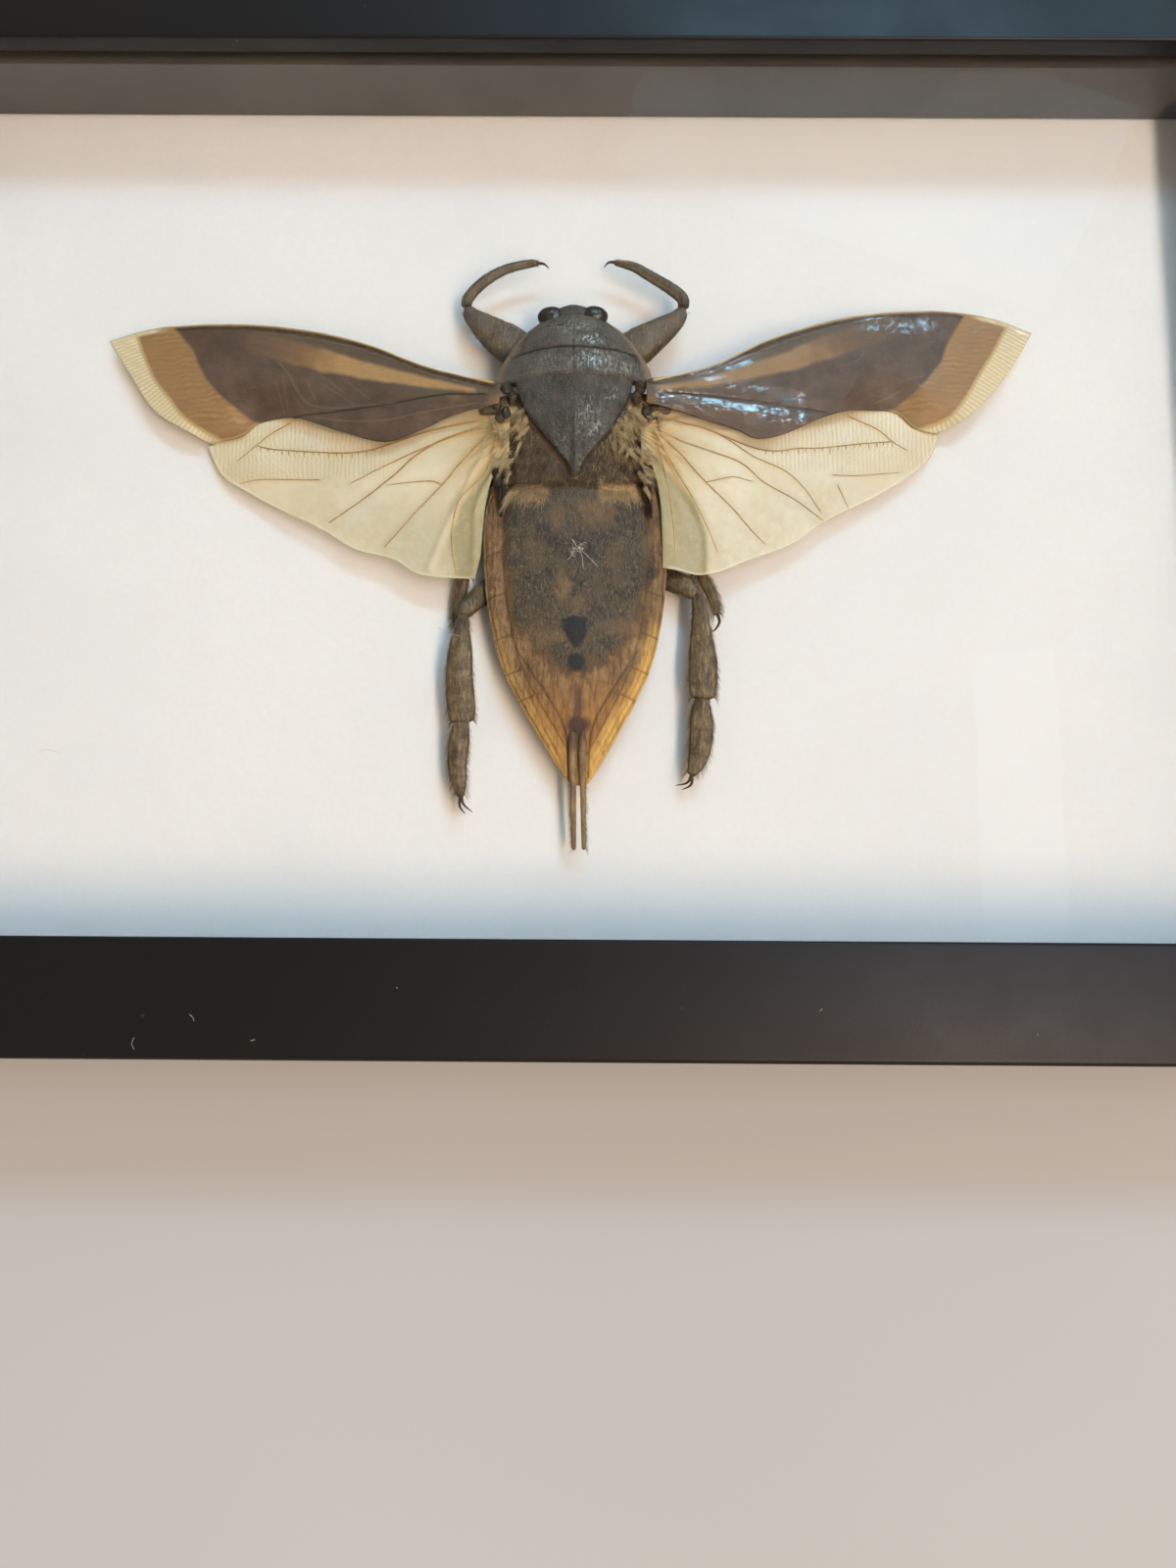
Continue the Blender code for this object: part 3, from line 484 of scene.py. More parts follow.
lights = {
    "window": {"place": (0.345, 0.961, 1.232), "size": (0.6, 0.24), "power": 5.3,
               "colour": (0.37, 0.73, 1.0), "turn": (39.9, 0, 160.25)},
    "nearLamp": {"place": (0.49, -0.65, 1.2), "size": (0.09, 0.72), "power": 6.3,
                 "colour": (1.0, 0.71, 0.45), "turn": (0, 22.2, 0)},
    "farLamp": {"place": (0.49, -0.014, 1.2), "size": (0.09, 0.6), "power": 2.4,
                "colour": (0.80, 0.86, 0.98), "turn": (0, 22.2, 0)},
}
surround = {"colour": (1.0, 0.85, 0.76), "strength": 0.33}

for lightName, light in lights.items():
    lamp = bpy.data.lights.new(lightName, "AREA")
    lamp.shape = "RECTANGLE"
    lamp.size, lamp.size_y = light["size"]
    lamp.energy = light["power"]
    lamp.color = light["colour"]
    setUp(lightName, lamp, light)

world = bpy.data.worlds.new("surround")
world.use_nodes = True
world.node_tree.nodes["Background"].inputs["Color"].default_value = (*surround["colour"], 1.0)
world.node_tree.nodes["Background"].inputs["Strength"].default_value = surround["strength"]
bpy.context.scene.world = world
bpy.context.scene.view_settings.view_transform = "Standard"
print("camera and lights placed")

# floor

floor = {"halfWidth": 1.2, "below": 0.0002, "colour": (240, 240, 239), "shade": (232, 232, 230)}


def makeFloor():
    finish = Finish("paleFloor", 0.75, 0.3)
    cloudy, grain = finish.noise(0.004, 3.0), finish.noise(1.3, 3.0)
    colour = finish.layers(floor["colour"], ((cloudy, 0.35, 0.65), floor["shade"]))
    half = floor["halfWidth"]
    mesh = bpy.data.meshes.new("floor")
    mesh.from_pydata([(-half, -half, 0), (half, -half, 0), (half, half, 0), (-half, half, 0)], [],
                     [(0, 1, 2, 3)])
    mesh.materials.append(finish.cover(colour, 0.75, grain, 0.02, 0.4))
    setUp("floor", mesh, {"place": (0, 0, -floor["below"]), "turn": (0, 0, 0)})


makeFloor()

# box frame: four mitred rails, lining strips, glass, board and the parts at the back

rails = {
    "halfLength": 108.0, "halfHeight": 77.0, "face": 15.0, "depth": 25.0, "lip": 2.9, "overhang": 3.3,
    "innerRound": 0.5, "outerRound": 0.8, "mitreGap": 0.06, "sections": 41, "wave": 0.03,
    "colour": (25, 25, 25), "shade": (19, 19, 20),
}


def makeLacquer():
    finish = Finish("blackLacquer", 0.42, 0.44)
    patches, grain = finish.noise(0.05, 5.0), finish.noise(4.0, 3.0, 0.7)
    dust = finish.group(speckles, Spread=0.28, Size=0.10)["Mask"]
    fineDust = finish.group(speckles, Spread=1.1, Size=0.13)["Mask"]
    colour = finish.layers(rails["colour"], ((patches, 0.35, 0.65), rails["shade"]),
                           ((dust, 0.5), (150, 140, 125)), ((fineDust, 0.22), (130, 124, 115)))
    roughness = (finish.total(patches, (grain, 0.4)), 0.45, 0.95, 0.34, 0.46)
    return finish.cover(colour, roughness, grain, 0.012, 0.6)


def roundedProfile(corners, steps=5):
    # a closed outline of outward and upward pairs, each corner with its own rounding
    outline = []
    for index, (x, z, radius) in enumerate(corners):
        here = Vector((x, z))
        start, end = (here + (Vector(corners[other % len(corners)][:2]) - here).normalized() * radius
                      for other in (index - 1, index + 1))
        for t in (step / steps for step in range(steps + 1 if radius else 1)):
            outline.append(start * (1 - t) ** 2 + here * 2 * t * (1 - t) + end * t ** 2)
    return outline


def makeRails(material):
    depth, face, over = rails["depth"], rails["face"], rails["overhang"]
    profile = roundedProfile([
        (over, 0.0, 0.3), (face, 0.0, 0.5), (face, depth, rails["outerRound"]),
        (0.0, depth, rails["innerRound"]), (0.0, depth - rails["lip"], 0.15),
        (over, depth - rails["lip"], 0.0)])
    inner = (rails["halfLength"] - face, rails["halfHeight"] - face)
    for turn, side in enumerate(("top", "left", "bottom", "right")):
        half, offset = inner[turn % 2], inner[1 - turn % 2]
        places = []
        for share in (2 * section / (rails["sections"] - 1) - 1 for section in range(rails["sections"])):
            for outward, up in profile:
                x = share * (half + outward - rails["mitreGap"])
                wave = rails["wave"] * noise.noise(Vector((x * 0.04, outward * 0.1, turn * 5.0)))
                y = offset + min(outward, face - 0.03) + (wave if 0.5 < outward < face - 0.5 else 0.0)
                places.append((x, y, up + (wave * 0.6 - 0.02 if up > depth - 0.9 else 0.0)))
        place = Matrix.Rotation(turn * math.pi / 2, 4, "Z") @ millimetres
        addPiece("rail_" + side + "_lacquered", (places, closedRings(rails["sections"], len(profile))),
                 material, "rail_" + side, place=place, sharp=35)


def makeLining():
    # the satin strips that stand between board and glass, dark like the rails but painted mid grey, a painted
    # reflection of the bright board that they mirror
    finish = Finish("liningPaintedReflection", 0.38, 0.6)
    fibres, patches = finish.noise(2.0, stretch=(4.0, 4.0, 1.0)), finish.noise(0.06)
    colour = finish.layers((92, 91, 88), ((patches, 0.35, 0.65), (82, 81, 79)))
    return finish.cover(colour, (fibres, 0.3, 0.7, 0.3, 0.42), fibres, 0.02, 0.5)


def makeBoardPaper():
    finish = Finish("boardPaper", 0.85, 0.25)
    tooth, cloudy = finish.noise(1.6, 5.0, 0.65), finish.noise(0.03)
    flecks = finish.group(speckles, Spread=0.11, Size=0.03)["Mask"]
    colour = finish.layers((236, 234, 229), ((cloudy, 0.35, 0.65), (231, 230, 226)),
                           ((tooth, 0.35, 0.65, 0.0, 0.25), (222, 220, 215)), ((flecks, 0.35), (150, 132, 108)))
    return finish.cover(colour, (tooth, 0.3, 0.7, 0.78, 0.92), tooth, 0.03, 0.5)


def makePaneGlass():
    # clear coated glass that barely mirrors, and lets the light fall through without a dark shadow
    finish = Finish("paneGlass", 0.0, 0.5)
    finish.inputs["Transmission Weight"].default_value = 1.0
    finish.inputs["IOR"].default_value = 1.06
    finish.cover((0.985, 0.995, 0.99, 1.0), (finish.noise(0.05, 3.0), 0.45, 0.75, 0.0, 0.012))
    clear, path, blend = (finish.tree.nodes.new("ShaderNode" + kind)
                          for kind in ("BsdfTransparent", "LightPath", "MixShader"))
    for socket, source in zip(blend.inputs, (path.outputs["Is Shadow Ray"], finish.shader.outputs[0],
                                             clear.outputs[0])):
        finish.feed(socket, source)
    finish.feed(finish.tree.nodes["Material Output"].inputs["Surface"], blend.outputs[0])
    return finish.material


def makeFibreboard():
    finish = Finish("fibreboard", 0.8, 0.3)
    fibres, patches = finish.noise(1.1, 6.0, 0.7, (1.0, 2.5, 1.0)), finish.noise(0.04)
    chips = finish.group(speckles, Spread=0.5, Size=0.25)["Mask"]
    colour = finish.layers((136, 98, 62), ((fibres, 0.35, 0.65), (104, 71, 43)),
                           ((patches, 0.4, 0.7, 0.0, 0.5), (148, 112, 74)), ((chips, 0.6), (70, 47, 28)))
    return finish.cover(colour, (fibres, 0.3, 0.7, 0.72, 0.88), fibres, 0.05, 0.6)


def makeZinc():
    finish = Finish("zincPlate", 0.35, 0.5)
    finish.inputs["Metallic"].default_value = 1.0
    spangle, stain = finish.cells(0.9), finish.noise(0.35)
    scuffs = finish.noise(2.0, stretch=(6.0, 0.6, 1.0))
    colour = finish.layers((196, 197, 194), ((spangle, 0.1, 0.9), (172, 173, 171)),
                           ((stain, 0.55, 0.75, 0.0, 0.6), (142, 132, 112)))
    return finish.cover(colour, (scuffs, 0.3, 0.7, 0.26, 0.48), scuffs, 0.01, 0.5)


makeRails(makeLacquer())
liningPaintedReflection = makeLining()
for side in ("top", "bottom", "left", "right"):
    dressNode("spacer_" + side, liningPaintedReflection)
dressNode("mount_board", makeBoardPaper())
dressNode("glass", makePaneGlass())
dressNode("back_panel", makeFibreboard())
zincPlate = makeZinc()
for metalPart in ("tab_1", "tab_2", "tab_3", "tab_4", "tab_5", "tab_6", "hanger", "nail_left", "nail_right"):
    dressNode(metalPart, zincPlate)
print("box frame dressed")

# insect materials

skin = {
    "plate": (94, 90, 80), "plateShade": (60, 58, 51), "rim": (138, 116, 90), "thorax": (102, 85, 64),
    "thoraxShade": (62, 53, 42), "leg": (114, 97, 70), "legShade": (66, 57, 44), "legPale": (172, 148, 110),
}


def makePlateSkin():
    finish = Finish("plateSkin", 0.45, 0.36)
    grain = finish.group(cuticleGrain, Colour=skin["plate"], Shade=skin["plateShade"], Patch=0.35, Grain=2.6)
    streaks = finish.noise(3.2, 4.0, 0.65, (1.0, 5.0, 2.0))
    glints = finish.noise(3.0, 6.0, 0.8, (1.0, 2.2, 1.0))
    wrinkles = finish.noise(1.3, 5.0, 0.65, (1.0, 1.8, 1.0))
    # pale flecks, mostly on the right halves of the shields: whitish deposits with a painted highlight laid
    # into the colour; the same mask also makes them glossy
    flecks = finish.value(((glints, 0.51, 0.58), "fleck"))
    colour = finish.layers(grain["Colour"], ((streaks, 0.5, 0.72, 0.0, 0.4), (122, 114, 100)),
                           ("rim", skin["rim"]), ((flecks, 0.8), (192, 195, 190)), ("crease", (26, 24, 22)))
    finish.feed(finish.inputs["Coat Weight"], flecks)
    finish.inputs["Coat Roughness"].default_value = 0.18
    return finish.cover(colour, grain["Roughness"],
                        finish.total(grain["Height"], (streaks, 0.8), (wrinkles, 1.4)), 0.14)


def makeThoraxSkin():
    finish = Finish("thoraxSkin", 0.55, 0.3)
    grain = finish.group(cuticleGrain, Colour=skin["thorax"], Shade=skin["thoraxShade"], Patch=0.6, Grain=3.2)
    streaks = finish.noise(2.8, 4.0, 0.7, (1.0, 4.0, 1.0))
    colour = finish.layers(grain["Colour"], ((streaks, 0.5, 0.7, 0.0, 0.5), (134, 108, 76)),
                           ("dark", (38, 31, 26)))
    return finish.cover(colour, grain["Roughness"], finish.total(grain["Height"], streaks), 0.12, 0.8)


def makeLegSkin():
    finish = Finish("legSkin", 0.48, 0.32)
    grain = finish.group(cuticleGrain, Colour=skin["leg"], Shade=skin["legShade"], Patch=0.5, Grain=2.4)
    streaks = finish.noise(2.2, 4.0, 0.65, (0.7, 4.5, 1.5))
    blotches = finish.noise(0.45, 5.0, 0.65)
    colour = finish.layers(grain["Colour"], ((streaks, 0.52, 0.7, 0.0, 0.6), skin["legPale"]),
                           (("grey", (blotches, 0.58, 0.42, 0.25, 1.0)), (92, 90, 84)), ("dark", (36, 29, 24)))
    return finish.cover(colour, grain["Roughness"], finish.total(grain["Height"], streaks), 0.08, 0.8)


def makeHairMaterial(name, light, dark):
    finish = Finish(name, 0.5, 0.4)
    clumps, single = finish.noise(0.8, 3.0), finish.noise(6.0, 2.0)
    share = (finish.total((clumps, 0.6), (single, 0.4)), 0.38, 0.62)
    return finish.cover(finish.layers(light, (share, dark)), (single, 0.3, 0.7, 0.42, 0.58))


plateSkin = makePlateSkin()
thoraxSkin = makeThoraxSkin()
legSkin = makeLegSkin()
goldenHair = makeHairMaterial("goldenHair", (198, 174, 130), (142, 118, 84))
paleHair = makeHairMaterial("paleHair", (204, 183, 141), (160, 136, 98))
greyHair = makeHairMaterial("greyHair", (150, 136, 112), (96, 82, 64))
brownHair = makeHairMaterial("brownHair", (122, 103, 78), (74, 62, 49))
darkHair = makeHairMaterial("darkHair", (74, 60, 46), (48, 38, 30))
print("insect materials ready")

# wings: outlines and veins in the bug's millimetres, from the root outwards

forewings = {
    "left": {
        "leading": [(-11.4, 15.4), (-21, 18.6), (-29.2, 22.4), (-37.5, 25), (-46, 26.5), (-54.3, 27),
            (-61.5, 26.8), (-67.6, 25.3)],
        "outer": [(-67.6, 25.3), (-64.2, 19.9), (-61.2, 15.2), (-57.9, 12.4), (-52.6, 9.7)],
        "trailing": [(-11.6, 12.4), (-17, 11.2), (-21, 9.6), (-26.6, 7.9), (-33.1, 9.8), (-40.5, 12.6),
            (-45.3, 12.5), (-48, 10.5), (-52.6, 9.7)],
        "cream": [(-63.4, 25.6), (-62.3, 22.8), (-60.6, 19.1), (-58.5, 16.2), (-55.9, 12.9), (-51.9, 10.5)],
        "patch": [(-56.9, 25.6), (-54.7, 22.8), (-54, 20.7), (-52.6, 18.4), (-50.6, 16.1), (-48.2, 14),
            (-45.8, 12.5), (-43.5, 12.2)],
        "stripe": [(-14.1, 14.4), (-20.9, 16.1), (-26.5, 17.6), (-31.9, 19.1), (-38, 21.1), (-45.8, 23.8)],
        "strip": [(-13.4, 14.9), (-19, 16.8), (-22.8, 18.4), (-26.6, 20.2), (-32.3, 22.4), (-38.1, 23.9),
            (-45.8, 25.4)],
        "pale": [(-25.3, 13.3), (-30.3, 13.2), (-34, 13.1), (-37.5, 13.8), (-39.4, 15.8), (-40.6, 18.3),
            (-42.2, 20.4)],
        "suture": [(-12.4, 13.8), (-19, 14.1), (-25.3, 13.3), (-30.2, 12.9), (-35.9, 12.5), (-40.1, 12.5)],
        "ridge": [(-13.8, 12.6), (-20.8, 11.8), (-26.4, 10.9), (-32.1, 11.1), (-36.7, 12)],
        "flank": 0.1, "paleShow": 0.5, "stripeShow": 1, "gloss": [],
        "scratches": [
            [(-31, 13.4), (-35.5, 16.6)], [(-32.5, 15.2), (-36.6, 18.6)], [(-36.5, 13.9), (-38, 17.4)],
            [(-29, 14.2), (-33, 17.6)], [(-41.5, 13.2), (-42.6, 17.8)], [(-41, 14), (-41.6, 18.8)]],
    },
    "right": {
        "leading": [(11.2, 15.4), (19.5, 18), (27.7, 22.2), (36, 25.2), (42.3, 26.6), (48.6, 27.3),
            (54.9, 27.4), (61.2, 26.5), (66.5, 24.5)],
        "outer": [(66.5, 24.5), (62.3, 18), (56.9, 12), (51.8, 9.6)],
        "trailing": [(11.3, 12.2), (15.3, 10.9), (22.4, 8.9), (25.6, 7.6), (29.6, 8.4), (36.2, 11.4),
            (41.6, 12.7), (46, 12.8), (48.6, 10.6), (51.8, 9.6)],
        "cream": [(63, 25.8), (60.8, 21.7), (58.6, 18.4), (56.1, 14.3), (53.6, 11.6), (50.1, 10.4)],
        "patch": [(56.2, 26.4), (53.6, 22.2), (52.5, 19.4), (50, 16.5), (47.2, 14), (44.8, 12.8),
            (41, 12.5)],
        "stripe": [(11.8, 14.4), (18.5, 15.4), (26.1, 17.7), (30.7, 19.1), (33.7, 20.4), (41.5, 23.4),
            (45.4, 24.6)],
        "strip": [(11.8, 15), (18.5, 16.8), (23.1, 18.9), (28.5, 21.3), (33.9, 23.4), (39.7, 25.2),
            (45.5, 26.3)],
        "pale": [(29.7, 13), (35.3, 13.3), (38.4, 14.2), (39.6, 15.8), (40.5, 17.8)],
        "suture": [(12.9, 13.7), (18.5, 13.6), (24, 13.1), (29.6, 12.4), (35.6, 11.8)],
        "ridge": [(14, 12.7), (20.3, 12), (26.6, 11.4), (33.4, 11.1)],
        "flank": 0.165, "paleShow": 0.12, "stripeShow": 0.66,
        "gloss": [  # line, half width, strength
            ([(12.5, 12.9), (17, 12.6), (22, 12.1), (28, 11.3), (34, 10.9)], 1.15, 1),
            ([(19, 15.6), (23, 15.2), (28, 14.2), (32, 13.6)], 0.9, 0.8),
            ([(17, 16.6), (22, 18), (26, 19.6)], 0.7, 0.7), ([(42, 25.2), (47, 25), (52, 25.2)], 1.1, 0.8),
            ([(47, 14), (51, 16.8), (54, 20.6)], 0.6, 0.6),
            ([(58, 24.6), (62, 24.8), (65, 24.4)], 0.8, 0.7),
            ([(53, 13), (56, 15.5), (59, 19.5)], 0.6, 0.5)],
        "scratches": [
            [(38, 18.6), (40.6, 19.6), (42, 22)], [(43, 13.8), (47, 15.6)], [(42, 14.8), (45.8, 14.6)],
            [(30.6, 14), (33.6, 15.2)], [(47.5, 16.8), (50.5, 17.6)]],
    },
}

hindwings = {
    "left": {
        "leading": [(-10.6, 12.2), (-16, 12.9), (-22, 13.2), (-36, 14), (-47.5, 13), (-53, 9.3)],
        "outer": [(-53, 9.3), (-51, 5.1), (-47.2, 2.3), (-42.1, -0.7), (-35.9, -3.9), (-31.4, -6.9),
            (-25.8, -8.6), (-22, -11), (-14.5, -12)],
        "trailing": [(-10.8, 8.8), (-11, 5), (-12.6, 2.4), (-13.3, -1), (-13.6, -4), (-13.9, -8.6),
            (-14.5, -12)],
        "veins": [  # line, width at its start, width at its end
            ([(-40.7, 12.4), (-43.8, 10.8), (-45.9, 9.2), (-48.7, 7)], 0.34, 0.16),
            ([(-13.2, 10.8), (-19.2, 10), (-26, 8.3), (-29.8, 7.4), (-34.6, 7.4), (-42.5, 8.3),
              (-45.9, 9.2)], 0.4, 0.3), ([(-36.3, 3.5), (-44.4, 4), (-48.2, 3.6)], 0.2, 0.12),
            ([(-11.4, 9.6), (-15, 9.3), (-19.2, 8.1), (-23, 6), (-25.6, 3.7), (-30.5, 0.1),
              (-35.1, -2.9)], 0.5, 0.28),
            ([(-12.4, 10.2), (-21.1, 7.4), (-26.8, 5.1), (-32.1, 2.7)], 0.34, 0.18),
            ([(-11.2, 9.4), (-15.5, 5.5), (-18.8, 1.8), (-23, -2.4), (-27.1, -6.9)], 0.42, 0.2),
            ([(-18.8, 1.8), (-20.2, 2.4), (-23, 2.4), (-26.8, 2.2)], 0.28, 0.14),
            ([(-10.9, 8.9), (-12.5, 3.4), (-16.2, -0.5), (-17.5, -5.7), (-16.8, -11.4)], 0.36, 0.22)],
        "pleats": [  # line, height, half width
            ([(-11.3, 8.6), (-14, 3.9), (-15.9, 0.3), (-18.5, -4.9), (-20.7, -10.4)], 0.32, 0.5),
            ([(-11, 8.2), (-11.6, 3.3), (-13.9, -1.4), (-14.4, -11.5)], 0.35, 0.45),
            ([(-12.4, 9.8), (-22, 9.2), (-30, 9.6), (-38, 11)], 0.2, 0.6)],
        "ticked": 1,
        # painted shade: soft spots that darken the film, strongest on the left wing, on the side away from the
        # lamps
        "paintedShadeSpots": [  # place, half sizes, strength
            (-21, -7, 9, 6, 0.42), (-24, 8, 14, 4, 0.22)],
        # the darker film along the body: film folded double there, and partly painted shade of the fold
        "shade": [(-10.8, 6), (-14.3, 1), (-16.4, -1.5), (-17.6, -5.7), (-16.9, -12.5), (-12, -13)],
    },
    "right": {
        "leading": [(10.6, 12), (16, 12.8), (22, 13), (36, 13.8), (46.5, 13.2), (52.6, 9.7)],
        "outer": [(52.6, 9.7), (50.2, 5.2), (43.4, 0.5), (35, -3.9), (30.8, -6.9), (25.1, -9.1),
            (18.1, -11.7), (12.9, -10.8)],
        "trailing": [(10.8, 8.6), (11, 5), (12.3, 2.4), (12.8, -1.5), (12.9, -6), (12.9, -10.8)],
        "veins": [
            ([(11.2, 9.2), (14.7, 7.6), (20, 5.9), (22.9, 4.9), (24.8, 3.6), (26.6, 1.9), (31.1, -0.6),
              (35.1, -3.6)], 0.5, 0.26),
            ([(12.4, 10.6), (14.8, 10.2), (20.4, 8.6), (25.2, 5.6), (29.7, 3.6), (32.6, 0.9),
              (34.8, -2.5)], 0.36, 0.2),
            ([(11.2, 8.9), (14.3, 6.1), (16.9, 3.2), (18.7, 1.3), (22, -2), (24.9, -5.4),
              (26.7, -7.2)], 0.46, 0.2), ([(18.4, 1.7), (22.1, 2.4), (25.1, 1.9)], 0.26, 0.16),
            ([(11.1, 8.6), (14.3, 2.7), (16.4, -1), (18.6, -5.5), (19.8, -8.5)], 0.4, 0.18),
            ([(11.1, 8.3), (12, 5.2), (12.9, 0.7), (13.5, -3.7), (13.8, -9.7)], 0.34, 0.2),
            ([(11.8, 10.7), (18.5, 9.3), (25.2, 6.9), (28.7, 6.5), (31.3, 7), (35.5, 7.2), (41.3, 8),
              (45.6, 8.5)], 0.36, 0.3),
            ([(39.2, 12.1), (43.4, 10.3), (45.6, 8.5), (47.7, 7.2)], 0.36, 0.18),
            ([(36.5, 3.2), (41.1, 3.3), (46.5, 3.8)], 0.24, 0.12),
            ([(37.2, 1.8), (38.3, -0.9), (38.7, -1.9)], 0.22, 0.14)],
        "pleats": [
            ([(11.2, 8.6), (13.9, 3.1), (16.4, -1.4), (18.2, -5.9), (18.2, -11.3)], 0.35, 0.5),
            ([(12.4, 9.9), (22, 9.2), (30, 9.6), (38, 11)], 0.2, 0.6),
            ([(20, 4), (26, -0.5), (31, -5.5)], 0.18, 0.9)],
        # painted shade: one faint spot that darkens the right wing's film
        "ticked": 6, "paintedShadeSpots": [(22, 9, 12, 4, 0.12)],
        # the darker film along the body: folded double film, and partly painted shade
        "shade": [(10.8, 6), (13.9, 1.5), (16.6, -1.2), (18.4, -5.9), (18.3, -12), (12, -12)],
    },
}

wingPlate = {
    "foreRows": 230, "foreColumns": 84, "foreThickness": 0.16, "hindRows": 180, "hindColumns": 120,
    "hindThickness": 0.09,
}


def patchGrid(outline, rows, columns, inward, untilX):
    # a smooth patch between the four edges of a wing, as flat places, with its root pulled under
    # the body's hairs
    leading = smoothLine(outline["leading"], rows)
    trailing = smoothLine(outline["trailing"], rows)
    root = smoothLine([outline["leading"][0], outline["trailing"][0]], columns)
    outer = smoothLine(outline["outer"], columns)
    s = np.linspace(0, 1, rows)[:, None, None]
    t = np.linspace(0, 1, columns)[None, :, None]
    corners = (1 - s) * ((1 - t) * leading[0] + t * trailing[0]) + s * ((1 - t) * leading[-1]
                                                                       + t * trailing[-1])
    flat = ((1 - t) * leading[:, None] + t * trailing[:, None] + (1 - s) * root[None]
            + s * outer[None] - corners).reshape(-1, 2)
    flat[:, 0] -= np.sign(flat[:, 0]) * inward * (1 - ease(np.abs(flat[:, 0]), 10.5, untilX))
    return flat, np.broadcast_to(t, (rows, columns, 1)).reshape(-1)


def makeForewingSkin():
    finish = Finish("forewingSkin", 0.32, 0.3)
    patches, pits = finish.noise(0.28, 5.0, 0.6), finish.cells(3.4)
    fine = finish.noise(2.4, 5.0, 0.65, (2.6, 1.0, 1.0))
    shine = finish.noise(1.7, 5.0, 0.7, (3.0, 1.0, 1.0))
    crumple = finish.noise(0.9, 5.0, 0.6, (2.2, 1.0, 1.0))
    clavus = finish.layers((86, 72, 58), ((patches, 0.4, 0.62), (122, 96, 70)))
    patch = finish.layers((80, 66, 54), ((patches, 0.35, 0.65), (98, 82, 68)))
    strip = finish.layers((98, 80, 58), ((fine, 0.4, 0.65), (66, 53, 42)))
    stripe = finish.layers((164, 132, 88), ("redder", (122, 95, 68)),
                           ((fine, 0.5, 0.7, 0.0, 0.35), (120, 94, 66)))
    amber = finish.layers((138, 106, 68), ("ribs", (166, 134, 92)),
                          ((patches, 0.4, 0.65, 0.0, 0.4), (128, 102, 72)))
    cream = finish.layers((208, 188, 144), ("ribs", (240, 227, 190)))
    body = finish.layers(
        (98, 90, 74), ((patches, 0.35, 0.65), (76, 69, 57)), ((fine, 0.5, 0.75, 0.0, 0.35), (130, 120, 98)),
        ("clavus", clavus), ("patch", patch), ("strip", strip), ("stripe", stripe), ("amber", amber),
        ("cream", cream), ("edge", (196, 164, 104)), ("dark", (38, 33, 30)), ("light", (132, 124, 102)))
    finish.feed(finish.inputs["Coat Weight"], finish.value(((shine, 0.36, 0.52), "gloss")))
    finish.inputs["Coat Roughness"].default_value = 0.16
    finish.inputs["Coat IOR"].default_value = 2.1
    finish.feed(finish.inputs["Alpha"], finish.value(("thin", 0.0, 1.0, 1.0, 0.8)))
    return finish.cover(body, (fine, 0.35, 0.65, 0.34, 0.54), finish.total(fine, (pits, 0.35), (crumple, 1.6)),
                        0.08, 0.8)


def makeHindwingFilm():
    finish = Finish("hindwingFilm", 0.34, 0.5)
    cloudy, crinkle = finish.noise(0.16, 5.0, 0.6), finish.noise(1.1, 6.0, 0.65)
    # the shade layer is partly painted shade: the film darkened along the body and in soft spots
    film = finish.layers(
        (240, 231, 202), ((cloudy, 0.35, 0.65), (230, 219, 182)), ("amber", (196, 164, 106)),
        ("shade", (168, 158, 116)), ((crinkle, 0.55, 0.75, 0.0, 0.35), (240, 230, 190)),
        ("ribs", (190, 166, 112)), (("vein", 0.7), (172, 142, 92)), (("edge", 0.6), (238, 228, 190)))
    finish.feed(finish.inputs["Alpha"],
                finish.calculate("ADD", ("thin", 0.0, 1.0, 0.84, 0.6), ("vein", 0.3), True))
    return finish.cover(film, (crinkle, 0.3, 0.7, 0.24, 0.45), crinkle, 0.08, 0.8)


